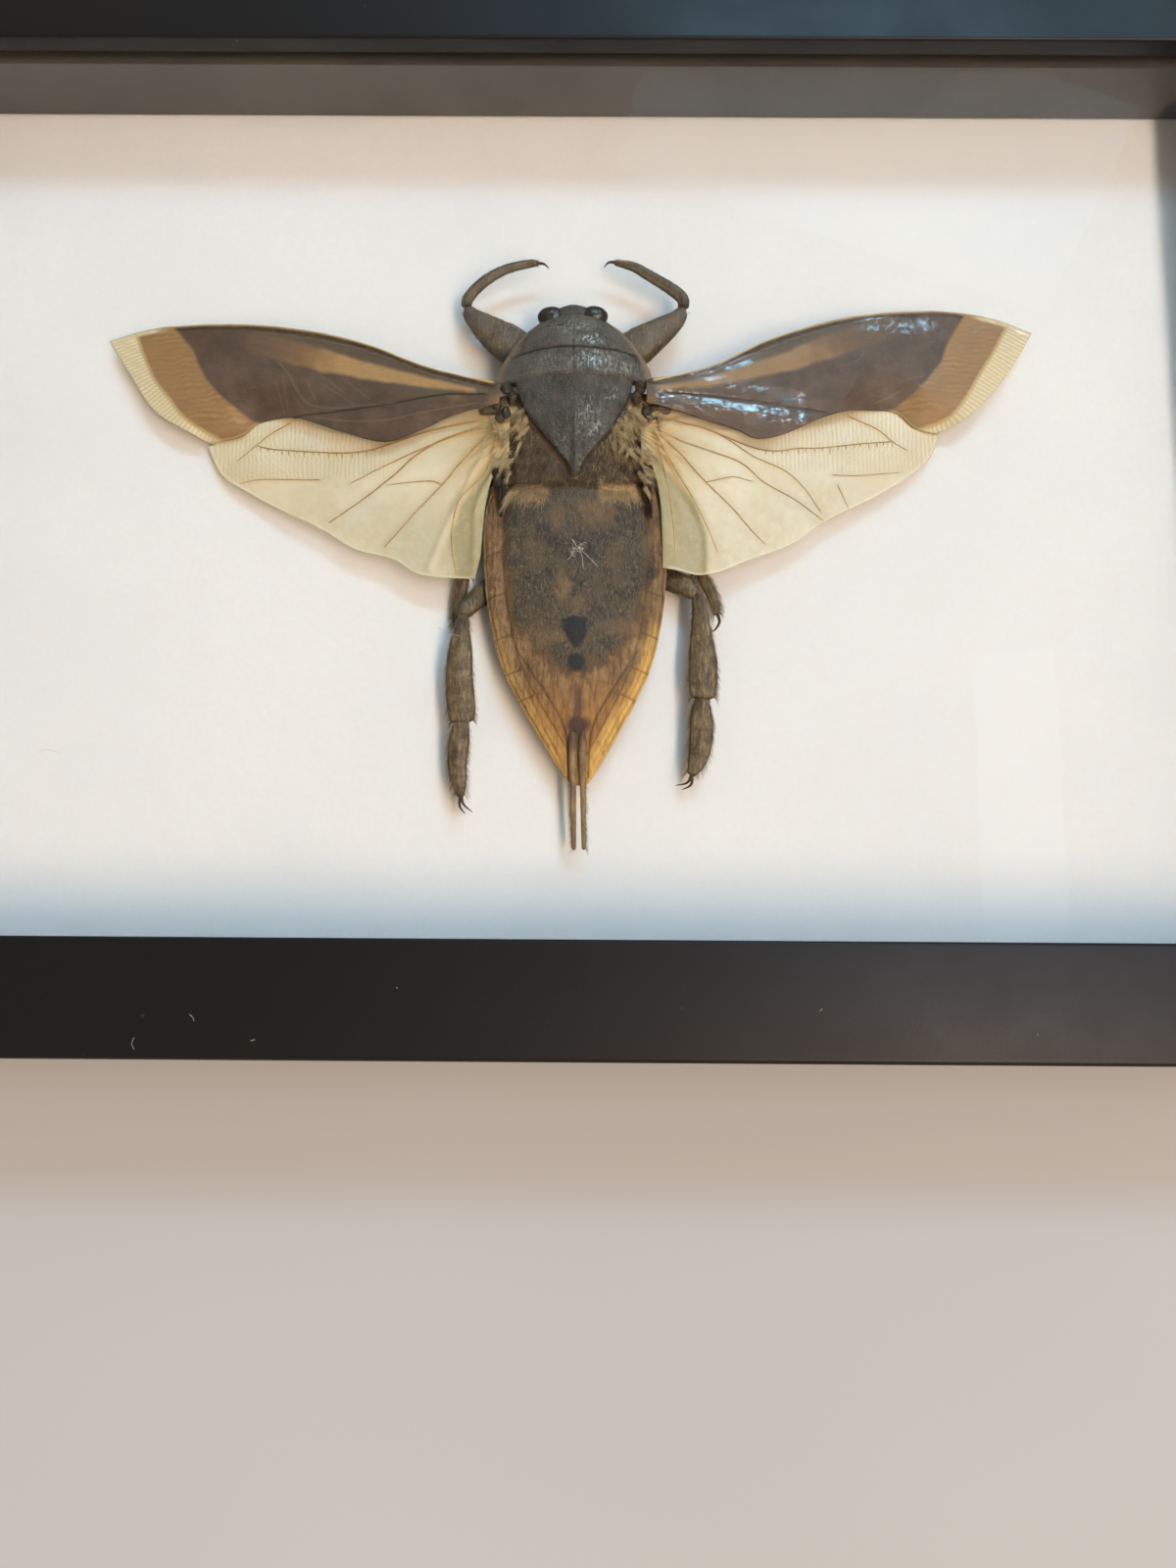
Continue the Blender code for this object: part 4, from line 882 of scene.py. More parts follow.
def makeForewing(side, material):
    wing = forewings[side]
    rows, columns = wingPlate["foreRows"], wingPlate["foreColumns"]
    flat, across = patchGrid(wing, rows, columns, 1.3, 15.0)
    size = np.abs(flat[:, 0])
    tip = wing["leading"][-1]
    front = wing["leading"][len(wing["leading"]) // 2]
    reach = np.clip((size - 11.0) / 56.0, 0, 1)
    wobble, small = roughField(flat, 2.2, 3, 3), roughField(flat, 0.7, 5, 2)
    leadingGap = lineDistance(flat, wing["leading"], 80)[0]
    trailingGap = lineDistance(flat, wing["trailing"], 60)[0]
    creamGap = beyondLine(flat, wing["cream"], tip)
    patchGap = beyondLine(flat, wing["patch"], tip)
    clavusGap = beyondLine(flat, wing["suture"], wing["trailing"][4])
    cream = highest(ease(creamGap + 0.12 * wobble, -0.35, 0.3),
                    (1 - ease(leadingGap, 0.5, 0.9)) * ease(patchGap, 0.5, 3.0))
    amber = ease(patchGap + 0.12 * wobble, -0.25, 0.3) * ease(size, 41.0, 43.0)
    stripeGap, stripeShare, stripeSide = lineDistance(flat, wing["stripe"], 60)
    stripeWidth = 0.35 + 1.45 * np.clip(stripeShare / 0.7, 0, 1)
    stripe = 1 - ease(stripeGap + 0.15 * wobble, stripeWidth - 0.45, stripeWidth + 0.25)
    stripe = wing["stripeShow"] * stripe * (1 - 0.75 * ease(stripeShare, 0.72, 1.0)) * (1 - amber)
    strip = ease(beyondLine(flat, wing["strip"], front) + 0.08 * wobble, -0.5, 0.35) * (1 - amber)
    strip = strip * (1 - ease(patchGap, -9.0, -3.0) * 0.7)
    clavus = ease(clavusGap, -0.15, 0.2) * (1 - amber)
    ribWave = np.sin(math.tau * (flat[:, 1] + 0.05 * size + 0.42 * wobble + 0.1 * small) / 0.78)
    ribWave = ribWave * (0.45 + 0.75 * roughField(flat * np.array((0.3, 1.0)), 0.9, 8, 1))
    ribShare = lineDistance(flat, wing["cream"], 60)[1]
    tickWave = np.sin(math.tau * (ribShare * 17.5 + 0.06 * wobble) / 0.5)
    ribs = (ribWave * (1 - cream) + tickWave * cream) * amber
    dark = highest(0.85 * stroke(flat, wing["suture"], 0.13, 0.1, 0.1) * (1 - amber),
                   0.5 * (1 - ease(np.abs(leadingGap - 0.62), 0.08, 0.26)) * (1 - amber))
    light = highest(wing["paleShow"] * stroke(flat, wing["pale"], 0.04, 0.07, 0.14),
                    0.35 * stroke(flat, wing["ridge"], 0.1, 0.08, 0.16) * clavus,
                    0.4 * stroke(flat, wing["strip"], 0.06, 0.04, 0.16) * (1 - amber),
                    *(0.55 * stroke(flat, line, 0.03, 0.02, 0.12) for line in wing["scratches"]))
    gloss = highest(np.zeros(len(flat)),
                    *(strength * stroke(flat, line, 0.5 * halfWidth, 0.5 * halfWidth, halfWidth)
                      for line, halfWidth, strength in wing["gloss"]))
    beads = (1 - ease(np.abs(creamGap), 0.12, 0.34)) * amber * (0.75 + 0.25 * small)
    edge = highest((1 - ease(leadingGap, 0.12, 0.3)) * (1 - 0.5 * cream),
                   0.6 * (1 - ease(trailingGap, 0.1, 0.4)) * amber, 0.7 * beads)
    z = 7.8 - 5.4 * reach ** 0.85 + 0.3 * np.sin(math.pi * across) + 0.45 * (0.5 - across)
    z += 0.13 * (1 - ease(np.abs(leadingGap - 0.25), 0.0, 0.35))                 # rolled front edge
    z += 0.14 * stroke(flat, wing["strip"], 0.0, 0.0, 0.5)
    z += 0.16 * stroke(flat, wing["stripe"], 0.0, 0.0, 0.9)
    z -= 0.22 * stroke(flat, wing["suture"], 0.05, 0.05, 0.4)
    z += 0.16 * stroke(flat, wing["pale"], 0.0, 0.05, 0.35)
    z += wing["flank"] * (np.clip(clavusGap, 0, 1.8) - 0.55 * np.clip(clavusGap - 1.8, 0, 4))
    z -= 1.5 * (1 - ease(trailingGap, 0.0, 5.0)) * ease(size, 37.0, 45.0)        # rests on the hindwing
    z += 0.045 * ribs * (0.7 + 0.3 * wobble)
    z -= 0.10 * cream                                                            # margin film is thinner
    z += (0.07 * wobble + 0.022 * small) * (1 - 0.5 * amber) + 0.06 * (1 - ease(size, 12.0, 18.0)) * small
    fold = np.sin(math.tau * (size * 0.55 + flat[:, 1] * 0.9) / 5.2 + 1.5 * wobble)
    z += 0.03 * fold * (1 - amber) * (1 - strip)
    plate = plateMesh(np.column_stack([flat, z]), rows, columns, wingPlate["foreThickness"])
    addPiece("forewing_" + side, plate, material, "bug_forewing_" + side, {
        "cream": cream, "amber": amber, "patch": ease(patchGap + wobble, -15.0, -4.0) * (1 - amber),
        "stripe": stripe, "redder": ease(stripeShare + 0.06 * wobble, 0.55, 0.8), "strip": strip,
        "clavus": clavus, "ribs": np.clip(ribs * 0.5 + 0.5, 0, 1) ** 1.6, "dark": dark,
        "light": light * (1 - 0.8 * amber), "edge": edge, "gloss": gloss * ease(wobble + small, -1.2, -0.2),
        "thin": highest(cream, (1 - ease(trailingGap, 0.2, 1.4)) * amber)})


def makeHindwing(side, film, veinMaterial):
    wing = hindwings[side]
    rows, columns = wingPlate["hindRows"], wingPlate["hindColumns"]
    flat, across = patchGrid(wing, rows, columns, 1.6, 16.0)
    size = np.abs(flat[:, 0])
    reach = np.clip((size - 10.0) / 43.0, 0, 1)
    rearward = np.clip((9.0 - flat[:, 1]) / 21.0, 0, None)
    z = 6.3 - 4.9 * reach ** 0.9 - 1.2 * rearward * (1 - reach)
    z += 0.12 * reach ** 0.5 * np.cos(across * 5 * math.tau)
    wobble, small = roughField(flat, 2.6, 13, 3), roughField(flat, 0.8, 15, 2)
    vein, glow = np.zeros(len(flat)), np.zeros(len(flat))
    for line, startWidth, endWidth in wing["veins"]:
        vein = highest(vein, stroke(flat, line, startWidth / 2, endWidth / 2, 0.14))
        gap, share, lineSide = lineDistance(flat, line, 40)
        glow = highest(glow, bell(gap, 2.0 * startWidth) * (1 - 0.6 * share))
    for line, height, width in wing["pleats"]:
        z += height * bell(lineDistance(flat, line, 40)[0], width)
    outerGap = lineDistance(flat, wing["outer"], 80)[0]
    edge = 1 - ease(outerGap, 0.15, 0.4)
    root = 1 - ease(size + 0.4 * wobble, 11.0, 22.0)
    margin = (1 - ease(outerGap + 0.6 * wobble, 1.0, 7.0)) * ease(size, 30.0, 44.0)
    cellZone = ease(size, 24.0, 30.0) * ease(flat[:, 1], 2.8, 4.4)
    ribs = 0.5 * (0.5 + 0.5 * np.sin(math.tau * (flat[:, 0] + 0.2 * wobble) / 0.62)) ** 3 * cellZone
    # the shade mask darkens the film: along the body for its folded double film and painted shade, and in the
    # painted shade spots
    shade = highest(ease(insidePolygon(flat, wing["shade"]) + 0.2 * wobble, -0.3, 0.5),
                    softSpots(flat[:, 0], flat[:, 1], wing["paintedShadeSpots"]))
    thin = ease(outerGap + 1.5 * wobble, 14.0, 1.0) * (0.75 + 0.25 * small) * (1 - shade) * (1 - 0.6 * root)
    thin = thin * ease(size, 44.0, 34.0)
    z += 0.05 * vein + 0.09 * edge + 0.05 * wobble + 0.02 * small + 0.03 * ribs
    radial = np.arctan2(flat[:, 1] - 9.0, size - 8.0)
    z += 0.10 * root * np.sin(radial * 34 + wobble)                             # fine folds at the root
    top = np.column_stack([flat, z])
    amber = np.clip(root * 0.7 + margin * 0.25 + 0.35 * glow * (1 - 0.5 * thin), 0, 1)
    addPiece("hindwing_" + side, plateMesh(top, rows, columns, wingPlate["hindThickness"]), film,
             "bug_hindwing_" + side, {"vein": vein, "edge": edge * 0.8, "amber": amber, "shade": shade * 0.8,
                                      "thin": thin, "ribs": ribs})
    height = heightsOver(top)
    tubes = []
    for line, startWidth, endWidth in wing["veins"]:
        places = smoothLine(line, 24)
        widths = [startWidth + (endWidth - startWidth) * index / 23 for index in range(24)]
        tubes.append(limbMesh([(x, y, height(x, y) + 0.01, width * 0.5, 0.14)
                               for (x, y), width in zip(places, widths)], 8, 0.35))
    crossVein = smoothLine(wing["veins"][wing["ticked"]][0], 60)
    for x, y in crossVein[np.abs(crossVein[:, 0]) > 27.0][::2]:                 # ticks under the cross vein
        x += tickRandom.uniform(-0.2, 0.2)
        drop = tickRandom.uniform(0.4, 1.1)
        tubes.append(limbMesh([(x, y, height(x, y) + 0.01, 0.16, 0.12),
                               (x, y - drop, height(x, y - drop) + 0.01, 0.08, 0.1)], 6, 0.3))
    addPiece("hindwing_veins_" + side, joinParts(tubes), veinMaterial)


forewingSkin = makeForewingSkin()
hindwingFilm = makeHindwingFilm()
veinSkin = makeTwoTone("veinSkin", 0.5, 1.6, 4.0, (174, 146, 98), (142, 114, 74), 0.34, 0.5)
for side in ("left", "right"):
    makeForewing(side, forewingSkin)
    makeHindwing(side, hindwingFilm, veinSkin)
print("wings made")

# head, shields, thorax and abdomen

shields = {
    "pronotumWidths": [(25, 4.8), (23.1, 7.1), (20.5, 9.1), (17.8, 10.6), (15.9, 11), (15, 10.9)],
    "scutellumWidths": [(15.5, 8.3), (12.4, 7.3), (9.4, 5.5), (6.3, 3.1), (4.2, 1.4), (2.1, 0.25)],
    "grooveAt": 20.1, "pronotumHairs": 500, "scutellumHairs": 900,
    # pale flecks: whitish deposits and painted highlights, strongest on the right halves
    "pronotumFlecksAndPaintedGlints": [  # place, half width, half length, strength
        (2.4, 21.4, 2, 1, 1), (2.8, 18.3, 2.8, 1.6, 1), (6.2, 17.2, 2.8, 1.1, 0.65),
        (0, 23.4, 3.4, 1.2, 0.55), (-4, 18.2, 3.4, 1.6, 0.25)],
    "scutellumFlecksAndPaintedGlints": [(5.2, 13.3, 1.1, 0.9, 0.9), (2, 11, 1.4, 1.6, 0.9), (2.9, 8.4, 1.2, 2, 0.85),
        (0.7, 9, 0.7, 3, 0.7), (0.8, 4, 0.6, 2, 0.7), (-1.6, 6.6, 1, 1.8, 0.55), (-4, 12.6, 2, 1.2, 0.2)],
}

thorax = {
    "stations": [  # y, half width, underside, middle, top
        (24, 3, 1.6, 3.4, 5), (22, 3.8, 0.8, 3.4, 5.6), (19.5, 4.4, 0.4, 3.2, 5.6),
        (17.4, 5.2, 0.3, 3.2, 5.6), (15.3, 7.6, 0.3, 3.4, 5.6), (14.3, 10.8, 0.3, 5.6, 6.7),
        (12.4, 11, 0.3, 5.6, 6.8), (10.8, 10.3, 0.3, 5, 6.8), (7.5, 10.2, 0.3, 4.8, 6.7),
        (4.4, 10.3, 0.3, 4.8, 6.5), (1.7, 9.8, 0.3, 4.6, 6.2)],
    "rows": 110, "columns": 96, "hairs": 4200, "hairsInTuft": 26,
    "hinges": [  # x, y, height, width, length, of the dark lumps at the wing roots
        (-11.2, 14.4, 7.3, 1.5, 1.9), (-9.5, 14.6, 7.4, 1.7, 1.5), (-8.6, 13.4, 7.2, 1.2, 1.9),
        (-10.9, 12.6, 7.1, 1.4, 1.7), (-9.6, 11.4, 6.9, 1.3, 1.8), (11, 14.6, 7.3, 1.4, 1.7),
        (9.4, 14.9, 7.4, 1.6, 1.4), (8.7, 13.2, 7.2, 1.3, 2), (11.4, 12.9, 7.1, 1.5, 1.7),
        (10.1, 11.2, 6.9, 1.3, 1.8), (9.2, 14.2, 7.3, 1.4, 1.4)],
    "membranes": [  # the brown skin between the roots of the two wings
        (-11.9, 11.9, 6.6, 3, 1.3), (-10.4, 10.8, 6.5, 1.4, 1.6), (11.9, 11.7, 6.6, 3.2, 1.4),
        (10.5, 10.6, 6.5, 1.4, 1.6)],
    "tufts": [  # place, half width, half length, count
        (-7.5, 10.8, 1.5, 2.6, 13), (-8.8, 12.4, 1, 0.9, 4), (-10.2, 9.6, 1.4, 1.4, 6),
        (-9, 4.4, 1, 4.6, 12), (7, 9.6, 2, 2, 15), (8.7, 11.2, 1.6, 1.4, 9), (11, 11.4, 2, 0.9, 6),
        (9.1, 5.4, 1.2, 4.6, 15), (7, 6.4, 1.8, 1.4, 6)],
    "knobs": [  # the ragged dark knobs at the front corners of the abdomen
        (-11.1, 2.9, 6, 1.2, 1.4), (-10.3, 2.6, 6.3, 1.7, 1.1), (-9.2, 3, 6.3, 1, 0.9),
        (-10.9, 1.5, 6, 1.1, 1.8), (-10.5, -0.1, 5.9, 0.7, 2.4), (-10.45, -2.2, 5.8, 0.5, 2.6),
        (10.3, 2.9, 6.3, 1.2, 1.2), (9.6, 1.9, 6.3, 1.2, 1.2), (10.3, 0.6, 6, 1, 2.2),
        (10.3, -1, 5.9, 0.8, 2), (8.6, 2.7, 6.3, 1, 0.8), (10.45, -2.8, 5.8, 0.5, 2.4)],
}

abdomen = {
    "widths": [(1.3, 11.5), (-1.4, 12.4), (-5, 12.8), (-9.8, 12.75), (-15, 12.4), (-20.5, 11.45),
        (-25.2, 10.1), (-29.6, 8), (-33, 6.1), (-36.8, 3.9), (-39.5, 2.2), (-41, 1)],
    "widest": 12.8, "shift": -0.2, "rows": 250, "columns": 150, "under": 26,
    "profile": [(-1, 4.3), (-0.9, 4.75), (-0.82, 4.85), (-0.79, 4.65), (-0.72, 5.2), (-0.5, 5.75),
        (-0.25, 6.1), (0, 6.2), (0.25, 6.1), (0.5, 5.75), (0.72, 5.2), (0.79, 4.65), (0.82, 4.85),
        (0.9, 4.75), (1, 4.3)],
    "darkZone": [(-10.2, 2), (-10.25, -0.9), (-10.15, -8.9), (-9.7, -14.8), (-9.1, -18), (-8.2, -20.4),
        (-5.6, -21.4), (-4.6, -23.8), (-2.2, -24.6), (-1.4, -26.4), (1.2, -26.2), (2.2, -24), (4.6, -23.6),
        (7, -20.6), (9.1, -18.2), (9.7, -13.2), (10.8, -12.2), (10.9, -8.2), (10.3, -1.8), (9.9, 2)],
    "shieldSpot": [(-2.2, -18.2), (-0.4, -17.7), (1.5, -18.1), (1.4, -20.2), (0.4, -22.3), (-0.5, -22.4),
        (-1.7, -20.6)],
    "sutures": [-8.5, -14.5, -20.4, -25.3, -29],
    "creases": [
        [(-8.5, -22.2), (-5.3, -27.25), (-2.6, -31.7), (-1.65, -35), (-1.5, -40)],
        [(8.4, -22.4), (5, -27.6), (2.5, -31.7), (1.5, -35), (1.2, -40)]],
    "smudges": [  # tan and brown patches: place, half width, half length, strength
        (-1.8, -13.7, 1.2, 2.2, 0.85), (2.8, -2.4, 2.6, 2.2, 0.7), (-2.8, -3.4, 1.3, 2.4, 0.45),
        (9.9, -7.3, 0.6, 2.6, 0.7), (9.9, -15, 1, 1.8, 0.9), (-4.8, -20.6, 3.2, 1.6, 0.6),
        (5.9, -19.6, 2.8, 1.4, 0.5), (2.8, -13.5, 0.5, 2.2, 0.35), (-9.4, -16, 0.8, 3.2, 0.5),
        (-6, -8, 1.5, 3, 0.25), (5.5, -10, 1.2, 3, 0.25), (0.4, -15.8, 1.2, 1.4, 0.4)],
    "brownHairs": 900, "tanHairs": 1500,
    "lines": [(0.35, 0.7), (1.15, 0.5), (1.9, 0.35), (2.75, 0.85)],  # distance from the edge, depth
    "ticks": [(-7.3, -30.2), (-5, -34.5), (3.3, -36.7), (-4.2, -35.6), (7.6, -29.6)],
}


def shieldGrid(widths, front, back, rows, columns):
    # places of a shield: y before it bends, share of the half width, x and share of the length
    row = np.repeat(np.linspace(front, back, rows), columns)
    a = np.tile(np.linspace(1, -1, columns), rows)
    return row, a, a * widthAt(widths, row), (front - row) / (front - back)


def makePronotum(material):
    rows, columns = 96, 150
    row, a, x, back = shieldGrid(shields["pronotumWidths"], 25.0, 15.5, rows, columns)
    crown = 1.5 + 1.5 * np.sin(back * math.pi / 2)
    y = row + 0.45 * bell(x, 2.6) * (1 - back) ** 3 + (0.5 - 0.6 * a ** 2) * back ** 3
    places = np.column_stack([x, y, np.zeros(len(x))])
    wobble, small = roughField(places, 2.4, 21, 3), roughField(places, 0.6, 23, 3)
    groove = bell(y - shields["grooveAt"] + 0.012 * x ** 2 * 0.6 - 0.05 * wobble, 0.17)
    median = bell(x, 0.13) * ease(22.5 - y, 0, 1.5)
    rim = ease(np.abs(a), 0.88, 0.96)
    z = 6.4 + crown * (1 - np.abs(a) ** 2.4)
    z += -0.26 * groove * (1 - rim) - 0.10 * median + 0.10 * rim - 0.22 * ease(back, 0.955, 0.99)
    z -= 0.12 * bell(np.abs(a) - 0.84, 0.03)
    z += 0.05 * wobble + 0.028 * small
    z += 0.14 * softSpots(np.abs(x), y, [(3.2, 22.3, 1.6, 0.9, 1.0)])            # two low swellings
    top = np.column_stack([x, y, z])
    # pale flecks with painted highlight, from the spot table
    fleck = softSpots(x, y, shields["pronotumFlecksAndPaintedGlints"])
    addPiece("pronotum", plateMesh(top, rows, columns, underside=5.9), material, "bug_pronotum",
             {"rim": rim * 0.75 + 0.12 * ease(wobble, 0.3, 0.8), "fleck": fleck * (1 - groove),
              "crease": np.clip(0.85 * groove * (1 - rim) + 0.7 * median, 0, 1)})
    return top, rows, columns


def makeScutellum(material):
    rows, columns = 110, 90
    row, a, x, back = shieldGrid(shields["scutellumWidths"], 15.4, 2.1, rows, columns)
    y = row + (1 - a ** 2) * (1 - back) ** 4
    places = np.column_stack([x, y, np.zeros(len(x))])
    wobble = roughField(places, 2.0, 31, 3)
    streak = roughField(places * np.array((1.0, 0.22, 1.0)), 0.32, 33, 3)
    keel = bell(x, 0.22) * ease(back, 0.15, 0.6)
    z = 7.9 - 0.35 * back + (1.2 - 1.05 * back) * (1 - a ** 2)
    z += 0.16 * keel - 0.18 * bell(np.abs(x) - 0.75, 0.4) * ease(back, 0.45, 0.8) * (back < 0.97)
    z += softSpots(np.abs(x), y, [(3.4, 13.2, 1.4, 1.3, 0.10)])
    z += 0.06 * wobble + 0.035 * streak
    z -= 0.12 * ease(np.abs(a), 0.9, 1.0)
    top = np.column_stack([x, y, z])
    crease = np.clip(0.5 * ease(np.abs(a), 0.93, 1.0) + 0.4 * ease(-keel + 0.5 * streak, 0.2, 0.6), 0, 0.7)
    # the scutellum's pale flecks carry painted highlight too
    addPiece("scutellum", plateMesh(top, rows, columns, underside=7.1), material,
             "bug_scutellum",
             {"rim": 0.25 * ease(wobble, 0.35, 0.8), "fleck": softSpots(x, y, shields["scutellumFlecksAndPaintedGlints"]),
              "crease": np.clip(crease * 0.6 + 0.36 - 0.12 * ease(x, -0.5, 1.5), 0, 1)})
    return top, rows, columns


def roundedGrid(stations, rows, columns, corner=0.8):
    # rounded rings along y, from tables of half width, underside, middle and top
    table = np.array(stations[::-1], float)
    y = np.linspace(stations[0][0], stations[-1][0], rows)
    half, under, middle, high = (np.interp(y, table[:, 0], table[:, k])[:, None] for k in (1, 2, 3, 4))
    angle = np.linspace(0, math.tau, columns, endpoint=False)[None, :]
    cosine, sine = np.cos(angle), np.sin(angle)
    x = np.sign(cosine) * np.abs(cosine) ** corner * half
    z = middle + np.sign(sine) * np.abs(sine) ** corner * np.where(sine > 0, high - middle, middle - under)
    return np.stack([x, np.repeat(y[:, None], columns, axis=1), z], axis=2).reshape(-1, 3)


def ballAngles(rows, columns, pole):
    # the angles of a ball's places, from a small hole at one pole to the other, and round
    return (np.repeat(np.linspace(pole, math.pi - pole, rows), columns),
            np.tile(np.linspace(0, math.tau, columns, endpoint=False), rows))


def lumpMesh(x, y, z, width, length, seed):
    # a knobbly lump of hard skin
    u, v = ballAngles(22, 28, 0.06)
    unit = np.column_stack([np.sin(u) * np.cos(v), np.cos(u), np.sin(u) * np.sin(v)])
    swell = 1 + 0.34 * roughField(unit, 0.9, seed, 3)
    places = unit * swell[:, None] * np.array((width / 2, length / 2, 0.62)) + np.array((x, y, z))
    return places, closedRings(22, 28)


def makeThorax(material):
    rows, columns = thorax["rows"], thorax["columns"]
    places = roundedGrid(thorax["stations"], rows, columns)
    size = np.abs(places[:, 0])
    wobble = roughField(places, 1.6, 41, 3)
    upper = ease(places[:, 2], 5.0, 6.2)
    places[:, 2] += upper * (0.16 * wobble - 0.25 * bell(size - 8.8, 0.5))
    dark = upper * (0.7 * bell(size - 9.0, 0.45) * ease(11 - places[:, 1], 0, 1)
                    + 0.45 * ease(wobble, 0.1, 0.7) + 0.4 * (1 - ease(size, 1.0, 4.0)))
    parts = [(places, closedRings(rows, columns))]
    masks = [np.clip(dark, 0, 0.9)]
    for kind, shade in (("hinges", 0.62), ("knobs", 0.9), ("membranes", 0.1)):
        for lump in thorax[kind]:
            parts.append(lumpMesh(*lump, len(parts) + 2))
            masks.append(np.full(len(parts[-1][0]), shade))
    addPiece("thorax", joinParts(parts), material, "bug_thorax",
             {"dark": np.concatenate(masks)})
    return places, rows, columns


def makeAbdomen(material):
    rows, columns, under = abdomen["rows"], abdomen["columns"], abdomen["under"]
    length = np.linspace(2.1, -41.0, rows)
    half = widthAt(abdomen["widths"], np.minimum(length, 1.3))
    fullness = (half / abdomen["widest"]) ** 0.8
    middle = abdomen["shift"] * fullness
    profile = np.array(abdomen["profile"], float)
    across = np.sin(np.linspace(math.pi / 2, -math.pi / 2, columns) * 0.92) / math.sin(math.pi / 2 * 0.92)
    height = np.interp(across, profile[:, 0], profile[:, 1])
    height = np.convolve(np.pad(height, 2, "edge"), np.array((1.0, 2.0, 3.0, 2.0, 1.0)) / 9, "valid")

    def sheet(across, height, level):
        # places from edge to edge, all fuller where the abdomen is wide
        return np.stack([middle[:, None] + across[None, :] * half[:, None],
                         np.repeat(length[:, None], len(across), axis=1),
                         level + (height[None, :] - level) * fullness[:, None]], axis=2)

    top = sheet(across, height, 3.9).reshape(-1, 3)
    flat, x, y = top[:, :2], top[:, 0].copy(), top[:, 1].copy()
    wide = np.repeat(half, columns)
    edgeGap = wide - np.abs(x - np.repeat(middle, columns))
    wobble = roughField(top * np.array((1, 1, 0)), 2.4, 51, 3)
    ragged = roughField(top * np.array((1, 0.6, 0)), 0.9, 53, 3)
    streak = roughField(top * np.array((1.0, 0.16, 0.0)), 0.42, 55, 3)
    band = 1 - ease(edgeGap, 2.5, 2.9)
    tail = ease(-y, 24.0, 34.0)
    right = x > 0
    lines = highest(*(depth * bell(edgeGap - gapAt - 0.05 * wobble, 0.11)
                      for gapAt, depth in abdomen["lines"])) * ease(wide, 1.5, 5.0)
    bend = 0.35 * np.clip(edgeGap, 0, 3) - 0.5 + 0.05 * wobble
    sutures = highest(*(bell(y - seamY - bend, 0.13) for seamY in abdomen["sutures"])) * (0.75 * band + 0.18)
    creases = highest(*(stroke(flat, line, 0.1, 0.14, 0.14) for line in abdomen["creases"]))
    darkZone = ease(insidePolygon(flat, abdomen["darkZone"]) + 0.9 * ragged + 1.3 * wobble, -1.3, 1.3)
    spot = highest(ease(insidePolygon(flat, abdomen["shieldSpot"]) + 0.12 * ragged, -0.15, 0.3),
                   1 - ease(np.hypot(x + 0.2, y + 24.3) + 0.12 * ragged, 1.0, 1.45))
    purple = highest(1 - ease(np.hypot((x + 0.1) / 1.6, (y + 33.0) / 1.5) + 0.2 * ragged, 0.6, 1.4),
                     0.75 * (1 - ease(np.abs(x + 0.05), 0.25, 0.8)) * ease(-y, 26.0, 29.0)
                     * (1 - ease(-y, 33.0, 36.0)))
    tanBand = ((1 - ease(-y + 0.35 * ragged, 0.4, 1.6)) * ease(np.abs(x + 0.3), 3.0, 4.4) * (1 - band)
               * np.where(x < 0, 0.62, 1.0))
    gold = highest(tail * (1 - ease(edgeGap, 1.6, 3.4)) * np.where(right, 1.0, 0.62),
                   ease(-y + wobble, 15.0, 25.0) * (1 - ease(edgeGap + 0.3 * ragged, 0.9, 2.6))
                   * np.where(right, 1.0, 0.4))
    ticks = softSpots(x, y, [(*place, 0.22, 0.5, 0.9) for place in abdomen["ticks"]])
    fold = bell(y - 0.7 + 0.02 * x ** 2 * 0.4 + 0.12 * wobble, 0.32) * (1 - ease(np.abs(x), 6.5, 9.0))
    smudge = highest(*(strength * (1 - ease(np.hypot((x - x0) / wide0, (y - y0) / long0) + 0.5 * ragged
                                            + 0.25 * wobble, 0.3, 1.4))
                       for x0, y0, wide0, long0, strength in abdomen["smudges"]))
    fade = ease(y, -41.0, -39.5) * (1 - ease(y, 0.8, 1.3))
    top[:, 2] += 0.3 * fold - 0.6 * np.clip(y - 1.2, 0, None)
    top[:, 2] += fade * (-0.10 * lines - 0.10 * sutures - 0.16 * creases + 0.045 * wobble
                         + 0.03 * streak * (1 - band) + 0.05 * ragged * darkZone * (1 - band) + 0.06 * spot)
    bottomAcross = np.linspace(-1, 1, under)
    bottom = sheet(bottomAcross, 0.3 + 3.2 * np.abs(bottomAcross) ** 1.6, 3.6)
    grid = np.concatenate([top.reshape(rows, columns, 3), bottom], axis=1).reshape(-1, 3)
    masks = {
        "darkZone": darkZone, "fold": 0.75 * fold, "smudge": smudge, "spot": spot, "purple": purple,
        "tanBand": tanBand, "gold": gold, "tail": tail,
        "lines": np.clip(highest(lines, sutures, 0.85 * creases, ticks), 0, 1)}
    masks = {name: np.pad(values.reshape(rows, columns), ((0, 0), (0, under))).ravel()
             for name, values in masks.items()}
    addPiece("abdomen", (grid, closedRings(rows, columns + under)), material, "bug_abdomen",
             masks)
    return (top, rows, columns), darkZone, tanBand


